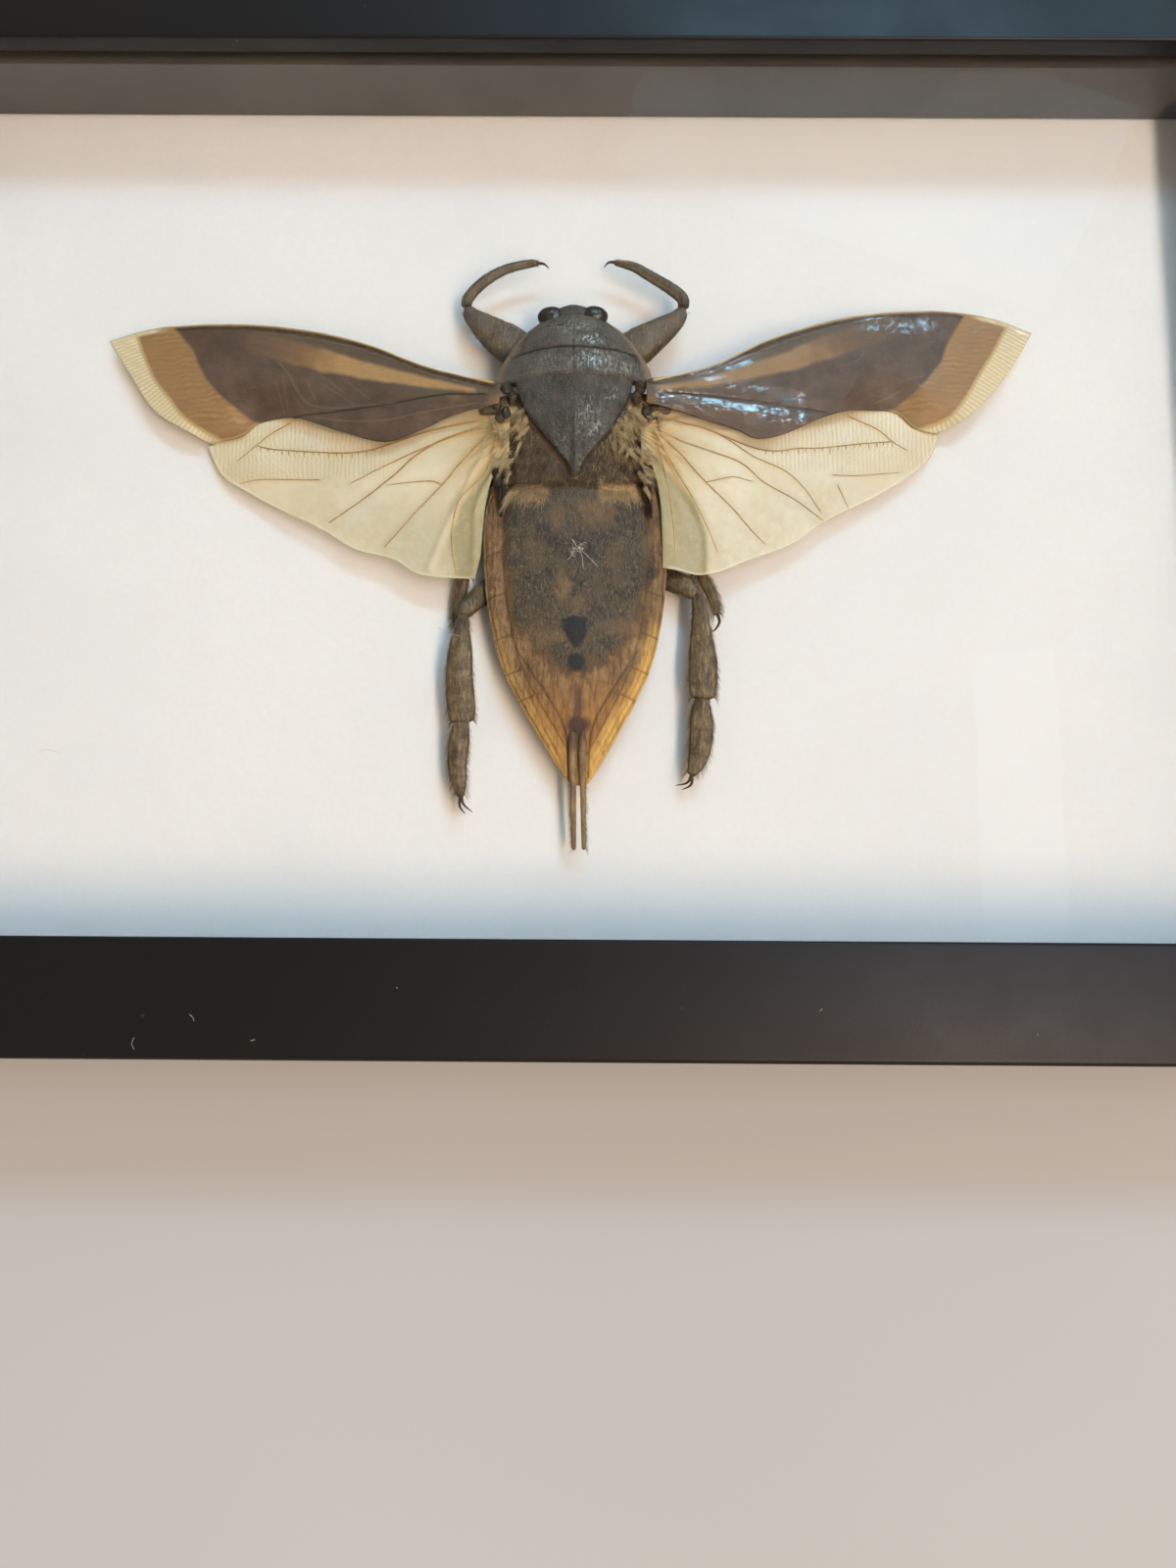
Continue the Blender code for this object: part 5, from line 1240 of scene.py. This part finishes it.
def makeAbdomenSkin():
    finish = Finish("abdomenSkin", 0.42, 0.3)
    grain = finish.group(cuticleGrain, Colour=(148, 118, 78), Shade=(112, 85, 57), Patch=0.4, Grain=2.6)
    streaks = finish.noise(2.6, 5.0, 0.65, (1.0, 7.0, 2.0))
    fuzz = finish.noise(2.6, 4.0, 0.7, (0.5, 3.0, 1.0))
    pale = finish.noise(0.9, 6.0, 0.7, (1.0, 2.6, 1.0))
    clouds = finish.noise(0.24, 5.0, 0.65)
    smudges = finish.noise(0.7, 7.0, 0.75, (1.0, 1.6, 1.0))
    fibres = finish.noise(5.0, 4.0, 0.7, (1.0, 3.2, 1.0))
    stains = finish.noise(1.0, 6.0, 0.7)
    tail = finish.layers((160, 116, 62), ((streaks, 0.38, 0.62), (124, 86, 48)))
    gold = finish.layers((216, 170, 94), ((streaks, 0.4, 0.7), (180, 134, 72)))
    dark = finish.layers(
        (44, 44, 40), ((clouds, 0.42, 0.58), (74, 66, 52)), ((smudges, 0.5, 0.66, 0.0, 0.75), (106, 86, 62)),
        ((fuzz, 0.48, 0.68, 0.0, 0.65), (118, 102, 78)), ((fibres, 0.52, 0.68, 0.0, 0.75), (134, 120, 96)),
        ((grain["Height"], 0.5, 0.8, 0.0, 0.5), (40, 38, 33)))
    smudge = finish.layers((134, 108, 74), ((fuzz, 0.4, 0.65), (98, 78, 52)))
    tanBand = finish.layers((178, 148, 104), ((fuzz, 0.4, 0.62), (134, 106, 74)))
    colour = finish.layers(
        grain["Colour"], ((streaks, 0.44, 0.62), (96, 74, 52)), ((pale, 0.5, 0.66, 0.0, 0.6), (172, 140, 98)),
        ("tail", tail), ("gold", gold), (("darkZone", 0.0, 0.55), (98, 72, 44)),
        (("darkZone", 0.35, 1.0), dark), ("smudge", smudge), ("fold", (48, 40, 32)), ("tanBand", tanBand),
        ("spot", (44, 46, 44)), ("purple", (76, 54, 46)), ((stains, 0.54, 0.7, 0.0, 0.45), (92, 68, 44)),
        (("lines", 0.78), (70, 50, 34)))
    relief = finish.total(grain["Height"], finish.total(streaks, fibres))
    return finish.cover(colour, grain["Roughness"], relief, 0.1, 0.9)


def makeEyeLens():
    finish = Finish("eyeLens", 0.16, 0.6)
    facets, stain = finish.cells(7.0), finish.noise(0.9, 3.0)
    colour = finish.layers((38, 37, 33), ((stain, 0.35, 0.65), (58, 52, 43)))
    return finish.cover(colour, (facets, 0.0, 0.6, 0.14, 0.3), facets, 0.03, 0.6)


def makeHead(material, lens):
    stations = [(28.1, 0.5, 5.1, 5.4, 5.9), (27.8, 1.3, 4.8, 5.4, 6.4), (27.4, 2.1, 4.5, 5.5, 6.8),
                (26.9, 3.1, 4.3, 5.6, 7.1), (26.4, 3.5, 4.2, 5.6, 7.1), (25.2, 3.6, 4.2, 5.6, 6.9)]
    places = roundedGrid(stations, 30, 60)
    ridge = ease(places[:, 2], 5.6, 6.4)
    places[:, 2] += ridge * (0.05 * roughField(places, 0.5, 61, 2)
                             - 0.12 * bell(np.abs(places[:, 0]) - 0.85, 0.16))
    beak = limbMesh([(0, 26.9, 5.0, 1.6, 1.6), (0, 26.6, 3.4, 1.2, 1.2), (0, 25.9, 1.6, 0.5, 0.5)], 20, 0.2)
    rim = np.concatenate([0.12 * ridge, np.zeros(len(beak[0]))])
    # pale flecks with painted highlight along the head's ridge
    addPiece("head", joinParts([(places, closedRings(30, 60)), beak]), material, "bug_head",
             {"rim": rim, "crease": [0.38], "fleck": rim * 1.2})
    eyes = []
    for side in (-1, 1):
        u, v = ballAngles(36, 48, 0.03)
        unit = np.column_stack([np.cos(u), np.sin(u) * np.cos(v), np.sin(u) * np.sin(v)])
        bulge = 1 + 0.02 * np.cos(u * 40) * np.cos(v * 20)
        turned = unit @ np.array(((0.97, -0.24 * side, 0.0), (0.24 * side, 0.97, 0.0), (0.0, 0.0, 1.0)))
        eye = turned * bulge[:, None] * np.array((2.0, 1.5, 1.25)) + np.array((side * 3.0 - 0.1, 26.1, 6.05))
        eyes.append((eye, closedRings(36, 48)))
    addPiece("eyes", joinParts(eyes), lens)


def layHairs(name, roots, headings, material, length, radius, lift, spread):
    # short hairs from their roots along a heading, a little lifted and spread
    count = len(roots)
    directions = np.array(headings, float) + random.normal(0, spread, (count, 3)) * np.array((1, 0.6, 0.25))
    directions[:, 2] += lift
    lengths = random.uniform(*length, count)
    radii = random.uniform(0.6, 1.2, count) * radius
    droop = np.column_stack([random.normal(0, 0.12, count), random.normal(0, 0.12, count),
                             np.full(count, -lift * 0.8)])
    addPiece(name, hairMesh(roots - np.array((0, 0, 0.05)), directions, lengths, radii, droop), material)


def rearward(sideways):
    # headings towards the tail, each with its share sideways
    return np.column_stack([sideways, np.full(len(sideways), -1.0), np.zeros(len(sideways))])


pronotumSheet = makePronotum(plateSkin)
scutellumSheet = makeScutellum(plateSkin)
thoraxSheet = makeThorax(thoraxSkin)
abdomenSheet, darkZone, tanBand = makeAbdomen(makeAbdomenSkin())
makeHead(plateSkin, makeEyeLens())
print("body plates made")


def makeBodyHairs():
    for name, sheet, count, length, radius, spread in (
            ("scutellum", scutellumSheet, shields["scutellumHairs"], (0.4, 0.9), 0.02, 0.16),
            ("pronotum", pronotumSheet, shields["pronotumHairs"], (0.25, 0.6), 0.016, 0.3)):
        roots = pickOnGrid(sheet, np.ones(len(sheet[0])), count)
        layHairs(name + "_hairs", roots, rearward(np.zeros(count)), greyHair, length, radius,
                 0.12, spread)

    x, y, z = thoraxSheet[0].T
    covered = widthAt(shields["scutellumWidths"], np.clip(y, 2.1, 15.4)) * (y > 2.3)
    bare = ease(np.abs(x) - covered, 0.0, 0.6) * ease(z, 5.6, 6.2) * (y < 14.0)
    roots = pickOnGrid(thoraxSheet, bare + 1e-9, thorax["hairs"])
    left, size = roots[:, 0] < 0, np.abs(roots[:, 0])
    headings = rearward(np.sign(roots[:, 0]) * ease(size, 5.0, 10.0) * 0.5)
    goldenFrom = np.where(left, 9.5, 7.0)
    golden = np.where(left, 0.05, 0.2) + 0.6 * ease(roots[:, 1], goldenFrom - 1.0, goldenFrom + 1.5)
    chosen = random.random(len(roots)) < highest(golden, 0.6 * ease(size, 9.2, 10.2))
    layHairs("thorax_hairs_golden", roots[chosen], headings[chosen], goldenHair,
             (1.0, 2.4), 0.036, 0.35, 0.4)
    layHairs("thorax_hairs_brown", roots[~chosen], headings[~chosen], brownHair,
             (0.8, 1.9), 0.034, 0.3, 0.35)

    roots = np.vstack([
        np.array((x0, y0, 6.8)) + random.normal(0, 0.5, (count, 3)) * np.array((wide, long, 0.15))
        for x0, y0, wide, long, count in thorax["tufts"]])
    headings = np.column_stack([np.sign(roots[:, 0]) * 0.5, np.full(len(roots), -0.8), np.zeros(len(roots))])
    headings += random.normal(0, 0.45, headings.shape) * np.array((1, 0.7, 0.3))
    strands = thorax["hairsInTuft"]                                              # hairs that cling together
    roots = np.repeat(roots, strands, axis=0)
    beside = random.normal(0, 0.17, roots.shape) * np.array((1, 1, 0.4))
    layHairs("thorax_tufts", roots + beside, np.repeat(headings, strands, axis=0) - 0.4 * beside, paleHair,
             (1.6, 2.8), 0.03, 0.3, 0.03)

    inner = np.clip(darkZone, 0, 1) * ease(abdomenSheet[0][:, 1], -26.0, -10.0) + 0.0001
    roots = pickOnGrid(abdomenSheet, inner, abdomen["brownHairs"])
    layHairs("abdomen_hairs_brown", roots, rearward(roots[:, 0] * 0.01), brownHair,
             (0.5, 1.3), 0.018, 0.1, 0.3)
    roots = pickOnGrid(abdomenSheet, tanBand + 1e-9, abdomen["tanHairs"])
    layHairs("abdomen_hairs_tan", roots, rearward(roots[:, 0] * 0.02), goldenHair,
             (0.7, 1.5), 0.032, 0.25, 0.4)


makeBodyHairs()
print("body hairs laid")

# breathing straps, legs and claws

straps = {
    "hairs": 150,
    "centres": {
        "left": -0.85, "right": 0.5,
    },
    "thickness": 0.5,
    "stations": [(-33.8, 5.1, 0.8), (-35, 5.4, 1), (-37, 5.3, 0.98), (-41, 4.85, 0.85), (-45.5, 4.2, 0.75),
        (-49.9, 3.6, 0.6)],
}

legs = {
    "foreleg_left": {
        "femur": [(-5.6, 20.6, 2.8, 2.2, 2.2), (-8.4, 22.8, 3.4, 5.6, 3.6), (-11.7, 25.1, 3.8, 4.7, 3.2),
            (-14.3, 27.2, 4.1, 2.8, 2.2), (-15.6, 28.8, 4.2, 1.5, 1.6)],
        "tibia": [(-15.5, 28.7, 4.3, 1.5, 1.6), (-15.1, 30.3, 4.4, 1.6, 1.5), (-12.8, 32.7, 4.5, 1.6, 1.3),
            (-9.8, 34.6, 4.3, 1.4, 1.1), (-6.3, 35.6, 4.1, 1.2, 1), (-4.9, 35.7, 4, 0.7, 0.8)],
        "claws": [[(-5.1, 35.7, 4), (-4.2, 35.7, 3.8), (-3.5, 35.3, 3.3)]],
    },
    "foreleg_right": {
        "femur": [(5.6, 20.4, 2.8, 2.2, 2.2), (8.2, 22.2, 3.4, 5.5, 3.6), (11.7, 24.4, 3.8, 4.5, 3.2),
            (14.6, 26.4, 4.1, 2.8, 2.2), (16, 28.2, 4.2, 1.5, 1.6)],
        "tibia": [(15.9, 28.1, 4.3, 1.5, 1.6), (15.7, 29.7, 4.4, 1.8, 1.5), (13.9, 31.3, 4.5, 1.8, 1.3),
            (11.1, 33.3, 4.3, 1.6, 1.1), (8.8, 34.8, 4.2, 1.4, 1), (6, 35.7, 4, 0.8, 0.8)],
        "claws": [[(6.2, 35.7, 4), (5.2, 35.8, 3.8), (4.5, 35.3, 3.3)]],
    },
    "midleg_left": {
        "femur": [(-11.3, 4.4, 2.4, 2, 1.8), (-13.6, 2.8, 2.5, 2.6, 2), (-16.1, 0.5, 2.6, 1.8, 1.7)],
        "tibia": [(-16, 0.7, 2.6, 1.5, 1.5), (-16.1, -3, 2.6, 2.8, 1.3), (-15.9, -7, 2.7, 2.7, 1.2),
            (-15.8, -11.4, 2.8, 2.1, 1.1)],
        "tarsus": [(-15.8, -11, 2.8, 1.2, 1), (-16.4, -13, 2.1, 1.6, 1), (-17, -16, 1.3, 1.4, 0.9),
            (-17.2, -18, 1.2, 0.8, 0.7)],
        "claws": [[(-17.2, -17.7, 1.2), (-17.4, -18.8, 1.1), (-17.1, -19.6, 0.9)]],
    },
    "midleg_right": {
        "femur": [(11.3, 4.4, 2.4, 2, 1.8), (14, 3.2, 2.5, 2.6, 2), (17.1, 1.4, 2.6, 1.8, 1.7)],
        "tibia": [(17, 1.6, 2.6, 1.5, 1.5), (17.3, -3, 2.6, 2.8, 1.3), (17.4, -7, 2.7, 2.5, 1.2),
            (17.4, -11.2, 2.8, 2, 1.1)],
        "tarsus": [(17.3, -10.9, 2.8, 1.2, 1), (18.3, -12.8, 2.9, 1.5, 1), (19.2, -15.2, 3, 1.4, 0.9),
            (19.6, -17.2, 2.9, 0.9, 0.7)],
        "claws": [[(19.6, -16.9, 2.9), (19.9, -18, 2.7), (19.4, -18.9, 2.3), (18.8, -19.3, 2)]],
    },
    "hindleg_left": {
        "femur": [(-11, -10.3, 1.4, 2.2, 1.5), (-13.2, -13.2, 2, 3, 1.9), (-15, -15.4, 3.4, 2.6, 2),
            (-16, -17.3, 4.3, 1.6, 1.6)],
        "tibia": [(-15.8, -16.7, 4.2, 1.3, 1.5), (-16, -19.4, 4.5, 2.2, 1.5),
            (-16.2, -22.4, 4.8, 3.3, 1.3), (-16.3, -26, 4.8, 3.7, 1.3), (-16.1, -29.9, 4.5, 3.9, 1.2),
            (-15.9, -32.4, 4.3, 3.3, 1.1)],
        "tarsus": [(-16, -31.9, 4.2, 1.8, 1.2), (-16.4, -34.6, 4, 2.8, 1.2), (-16.7, -38, 3.7, 2.6, 1.2),
            (-16.4, -41, 3.4, 1.8, 1), (-16.2, -42.4, 3.3, 0.9, 0.8)],
        "claws": [
            [(-16.2, -42, 3.3), (-15.9, -43.3, 3.1), (-14.7, -44.4, 2.6)],
            [(-16.3, -42, 3.3), (-16.4, -43.6, 3.1), (-15.7, -44.6, 2.6)]],
    },
    "hindleg_right": {
        "femur": [(11, -9.6, 1.4, 2.4, 1.5), (12.9, -11.5, 2, 3.2, 1.9), (15.1, -12.9, 3.1, 2.9, 2.1),
            (16.8, -14.7, 3.7, 1.8, 1.6)],
        "tibia": [(16.7, -14.3, 3.6, 1.3, 1.5), (17, -17, 3.8, 2, 1.5), (17.2, -20.6, 3.8, 3.1, 1.3),
            (17.3, -24.6, 3.8, 4, 1.3), (17.2, -29.4, 3.7, 3.7, 1.2)],
        "tarsus": [(17.1, -28.9, 3.5, 1.8, 1.2), (16.9, -31.8, 3.4, 3.1, 1.2),
            (16.8, -34.8, 3.3, 3.2, 1.2), (16.2, -37.8, 3.1, 2.6, 1.1), (15.3, -39.8, 3, 1.1, 0.9)],
        "claws": [
            [(15.5, -39.5, 3), (14.8, -40.7, 2.7), (13.2, -41, 2.2)],
            [(15.5, -39.5, 3), (15.3, -41, 2.7), (14.1, -41.6, 2.2)]],
    },
}

legSpines = [  # share of the shin's length, side, length
    (0.22, 1, 0.45), (0.34, 1, 0.5), (0.47, 1, 0.5), (0.6, 1, 0.55), (0.74, 1, 0.6), (0.86, 1, 0.5),
    (0.97, 1, 0.9), (0.985, 0.6, 0.8), (0.97, -1, 0.6), (0.985, -0.5, 0.7), (0.99, 0.1, 0.7)]

legHairs = {  # how many, and how long
    "foreleg": (160, (0.25, 0.6)), "femur": (90, (0.3, 0.7)), "shin": (420, (0.5, 1.4)),
}


def makeStrapSkin():
    finish = Finish("strapSkin", 0.45, 0.35)
    grain = finish.group(cuticleGrain, Colour=(158, 130, 92), Shade=(124, 100, 72), Patch=0.5, Grain=2.8)
    streaks = finish.noise(3.4, 4.0, 0.65, (1.0, 8.0, 1.5))
    colour = finish.layers(grain["Colour"], ((streaks, 0.48, 0.66, 0.0, 0.7), (84, 64, 46)),
                           ("dark", (66, 52, 39)))
    return finish.cover(colour, grain["Roughness"], finish.total(grain["Height"], streaks), 0.06, 0.8)


def makeStraps(material):
    count = straps["hairs"]
    for side, centre in straps["centres"].items():
        stations = [(centre, y, z, width, straps["thickness"]) for y, z, width in straps["stations"]]
        places, faces = limbMesh(stations, 24, 0.16, rough=0.05, seed=5 + centre)
        offset, rearwardGap = places[:, 0] - centre, -places[:, 1]
        places[:, 2] += 0.06 * bell(offset, 0.12) * (places[:, 2] > 3.5)
        dark = 0.22 * ease(np.abs(offset), 0.26, 0.46) + 0.2 * ease(rearwardGap, 44.0, 50.0)
        dark = np.clip(dark + 0.75 * (1 - ease(rearwardGap, 34.4, 37.0)), 0, 1)
        addPiece("air_strap_" + side, (places, faces), material, "bug_air_strap_" + side,
                 {"dark": dark})
        y = -34.5 - 15.4 * random.uniform(0.06, 1.0, count)
        z = np.interp(-y, [-row[0] for row in straps["stations"]], [row[1] for row in straps["stations"]])
        outward = -1.0 if side == "left" else 1.0
        roots = np.column_stack([np.full(count, centre + outward * 0.3), y, z])
        layHairs("air_strap_hairs_" + side, roots, rearward(np.full(count, outward * 0.45)), darkHair,
                 (0.4, 1.0), 0.022, 0.0, 0.2)


def alongLine(line, share):
    # what a line holds at a share of its length
    last = len(line) - 1
    return np.stack([np.interp(share * last, range(last + 1), column) for column in line.T], axis=-1)


def spineMesh(line, share, flank, size):
    # a spine or end spur that leans forwards from the side of a shin
    root = alongLine(line, share)
    last = len(line) - 1
    forward = line[min(int(share * last) + 1, last), :2] - line[max(int(share * last) - 1, 0), :2]
    forward /= np.linalg.norm(forward)
    outward = np.array((forward[1], -forward[0])) * flank
    start = root[:2] + outward * root[3] * 0.42
    end = start + (outward * 0.55 + forward) * size
    middle = (start + end) / 2 + outward * size * 0.1
    return limbMesh([(*start, root[2], 0.2, 0.2), (*middle, root[2], 0.14, 0.14),
                     (*end, root[2] - 0.05, 0.04, 0.04)], 8, 0.08)


def makeLeg(name, leg, material):
    parts, masks, hairs = [], [], []
    foreleg = name.startswith("foreleg")
    for partName in ("femur", "tibia", "tarsus"):
        if partName not in leg:
            continue
        femur = partName == "femur"
        places, faces = limbMesh(leg[partName], 36, 0.14, rough=0.035, seed=len(name) + len(parts),
                                 blunt=0.6 if femur else 0.22)
        line = smoothLine(leg[partName], 60)
        gap, share, side = lineDistance(places[:, :2], line[:, :2])
        level, width = alongLine(line, share)[:, 2:4].T
        upper = (places[:, 2] > level).astype(float)
        joint = np.zeros(len(places))
        if not femur:
            places[:, 2] += 0.12 * bell(gap, 0.16) * upper - 0.08 * bell(gap / width - 0.28, 0.07) * upper
        if partName == "tarsus":
            joint = 0.35 * highest(bell(share - 0.42, 0.02), bell(share - 0.74, 0.02))
            places[:, 2] -= 0.2 * joint * upper
        parts.append((places, faces))
        ends = highest(1 - ease(share, 0.0, 0.06), ease(share, 0.95, 1.0))
        masks.append(np.clip(0.55 * ends + 0.3 * ease(gap / width, 0.36, 0.48) + 0.7 * joint, 0, 0.85))
        count, hairLength = legHairs["foreleg" if foreleg else "femur" if femur else "shin"]
        chosen = random.uniform(0.03, 0.99, count)
        spots = alongLine(line, chosen)
        heading = np.gradient(line[:, :2], axis=0)
        heading = alongLine(heading / np.linalg.norm(heading, axis=1)[:, None], chosen)
        across = np.column_stack([heading[:, 1], -heading[:, 0]])
        flank = random.choice((-1.0, 1.0), count)
        roots = spots[:, :3]
        roots[:, :2] += across * (flank * spots[:, 3] * 0.47)[:, None]
        leaning = np.column_stack([across * (flank * 0.42)[:, None] + heading, random.normal(0, 0.1, count)])
        hairs.append((roots, leaning, random.uniform(*hairLength, count)))
        if partName == "tibia" and not foreleg:
            for spine in legSpines:
                parts.append(spineMesh(line, *spine))
                masks.append(np.full(len(parts[-1][0]), 0.6))
    for claw in leg["claws"]:
        slimmer = [1 - 0.8 * index / (len(claw) - 1) for index in range(len(claw))]
        parts.append(limbMesh([(*place, 0.55 * slim, 0.5 * slim) for place, slim in zip(claw, slimmer)],
                              12, 0.08))
        masks.append(np.full(len(parts[-1][0]), 0.7))
    addPiece(name, joinParts(parts), material, "bug_" + name,
             {"dark": np.concatenate(masks), "grey": [0.62 if foreleg else 0.0]})
    roots, headings, lengths = (np.concatenate(part) for part in zip(*hairs))
    headings = headings + random.normal(0, 0.16, headings.shape) * np.array((1, 1, 0.4))
    radii = random.uniform(0.014, 0.028, len(roots))
    droop = np.column_stack([headings[:, :2] * 0.1, np.full(len(roots), -0.05)])
    addPiece(name + "_hairs", hairMesh(roots, headings, lengths, radii, droop), legHair)


legHair = makeHairMaterial("legHair", (166, 138, 100), (96, 76, 54))
makeStraps(makeStrapSkin())
for legName, leg in legs.items():
    makeLeg(legName, leg, legSkin)
print("straps and legs made")

# loose fibres, dust and specks

loose = {
    "railDust": [  # line on the frame's front, width
        ([(-45.9, -71.4), (-45.4, -71.8), (-45.2, -72.3)], 0.16), ([(-38.2, -74.6), (-37.6, -74.4)], 0.2),
        ([(-52.4, -74.2), (-52.7, -75), (-52.3, -75.8)], 0.14), ([(-20.6, -68), (-20.3, -68.1)], 0.2),
        ([(31.4, -70.6), (31.9, -70.2)], 0.16), ([(58, -73), (58.2, -73.3)], 0.2)],
    "dustHeight": 24.97, "fluffHairs": 26, "fluff": [(-0.5, -8.9), (-0.1, -8.3), (0.35, -8)],
    "fibres": [  # places over the board, in the bug's millimetres
        [(0.2, -8.2, 6.6), (1.87, -9.89, 6.7), (3, -11.09, 6.5)],
        [(0.3, -8, 6.6), (0.8, -9.8, 6.9), (0.9, -11.45, 6.6)],
        [(-19.3, -18.9, 5.2), (-17.4, -19.9, 5.5), (-15.6, -20.4, 5.2)],
        [(-76, -34.8, 0.06), (-74.6, -34.4, 0.06), (-72.9, -34.9, 0.06)]],
}


def makeLooseBits():
    parts = [limbMesh([(*place, 0.055, 0.055) for place in fibre], 6, 0.2) for fibre in loose["fibres"]]
    for index in range(loose["fluffHairs"]):
        start = (np.array((*loose["fluff"][index % 3], 6.5))
                 + random.normal(0, 0.22, 3) * np.array((1, 1, 0.4)))
        middle = start + random.normal(0, 0.35, 3) * np.array((1, 1, 0.3))
        end = middle + random.normal(0, 0.35, 3) * np.array((1, 1, 0.3))
        parts.append(limbMesh([(*start, 0.05, 0.05), (*middle, 0.05, 0.05), (*end, 0.03, 0.03)], 5, 0.15))
    lint = makeTwoTone("lint", 0.2, 3.0, 3.0, (212, 208, 196), (172, 165, 150), 0.7, 0.9)
    addPiece("lint", joinParts(parts), lint)


def makeRailDust():
    # fibres and crumbs on the front of the frame, in the frame's own millimetres
    parts = [limbMesh([(x, y, loose["dustHeight"], width, 0.05) for x, y in line], 6, 0.15)
             for line, width in loose["railDust"]]
    dust = makeTwoTone("railDust", 0.2, 2.0, 3.0, (176, 168, 152), (128, 120, 106), 0.7, 0.9)
    addPiece("rail_dust", joinParts(parts), dust, place=millimetres)


makeLooseBits()
makeRailDust()
print("loose bits laid")
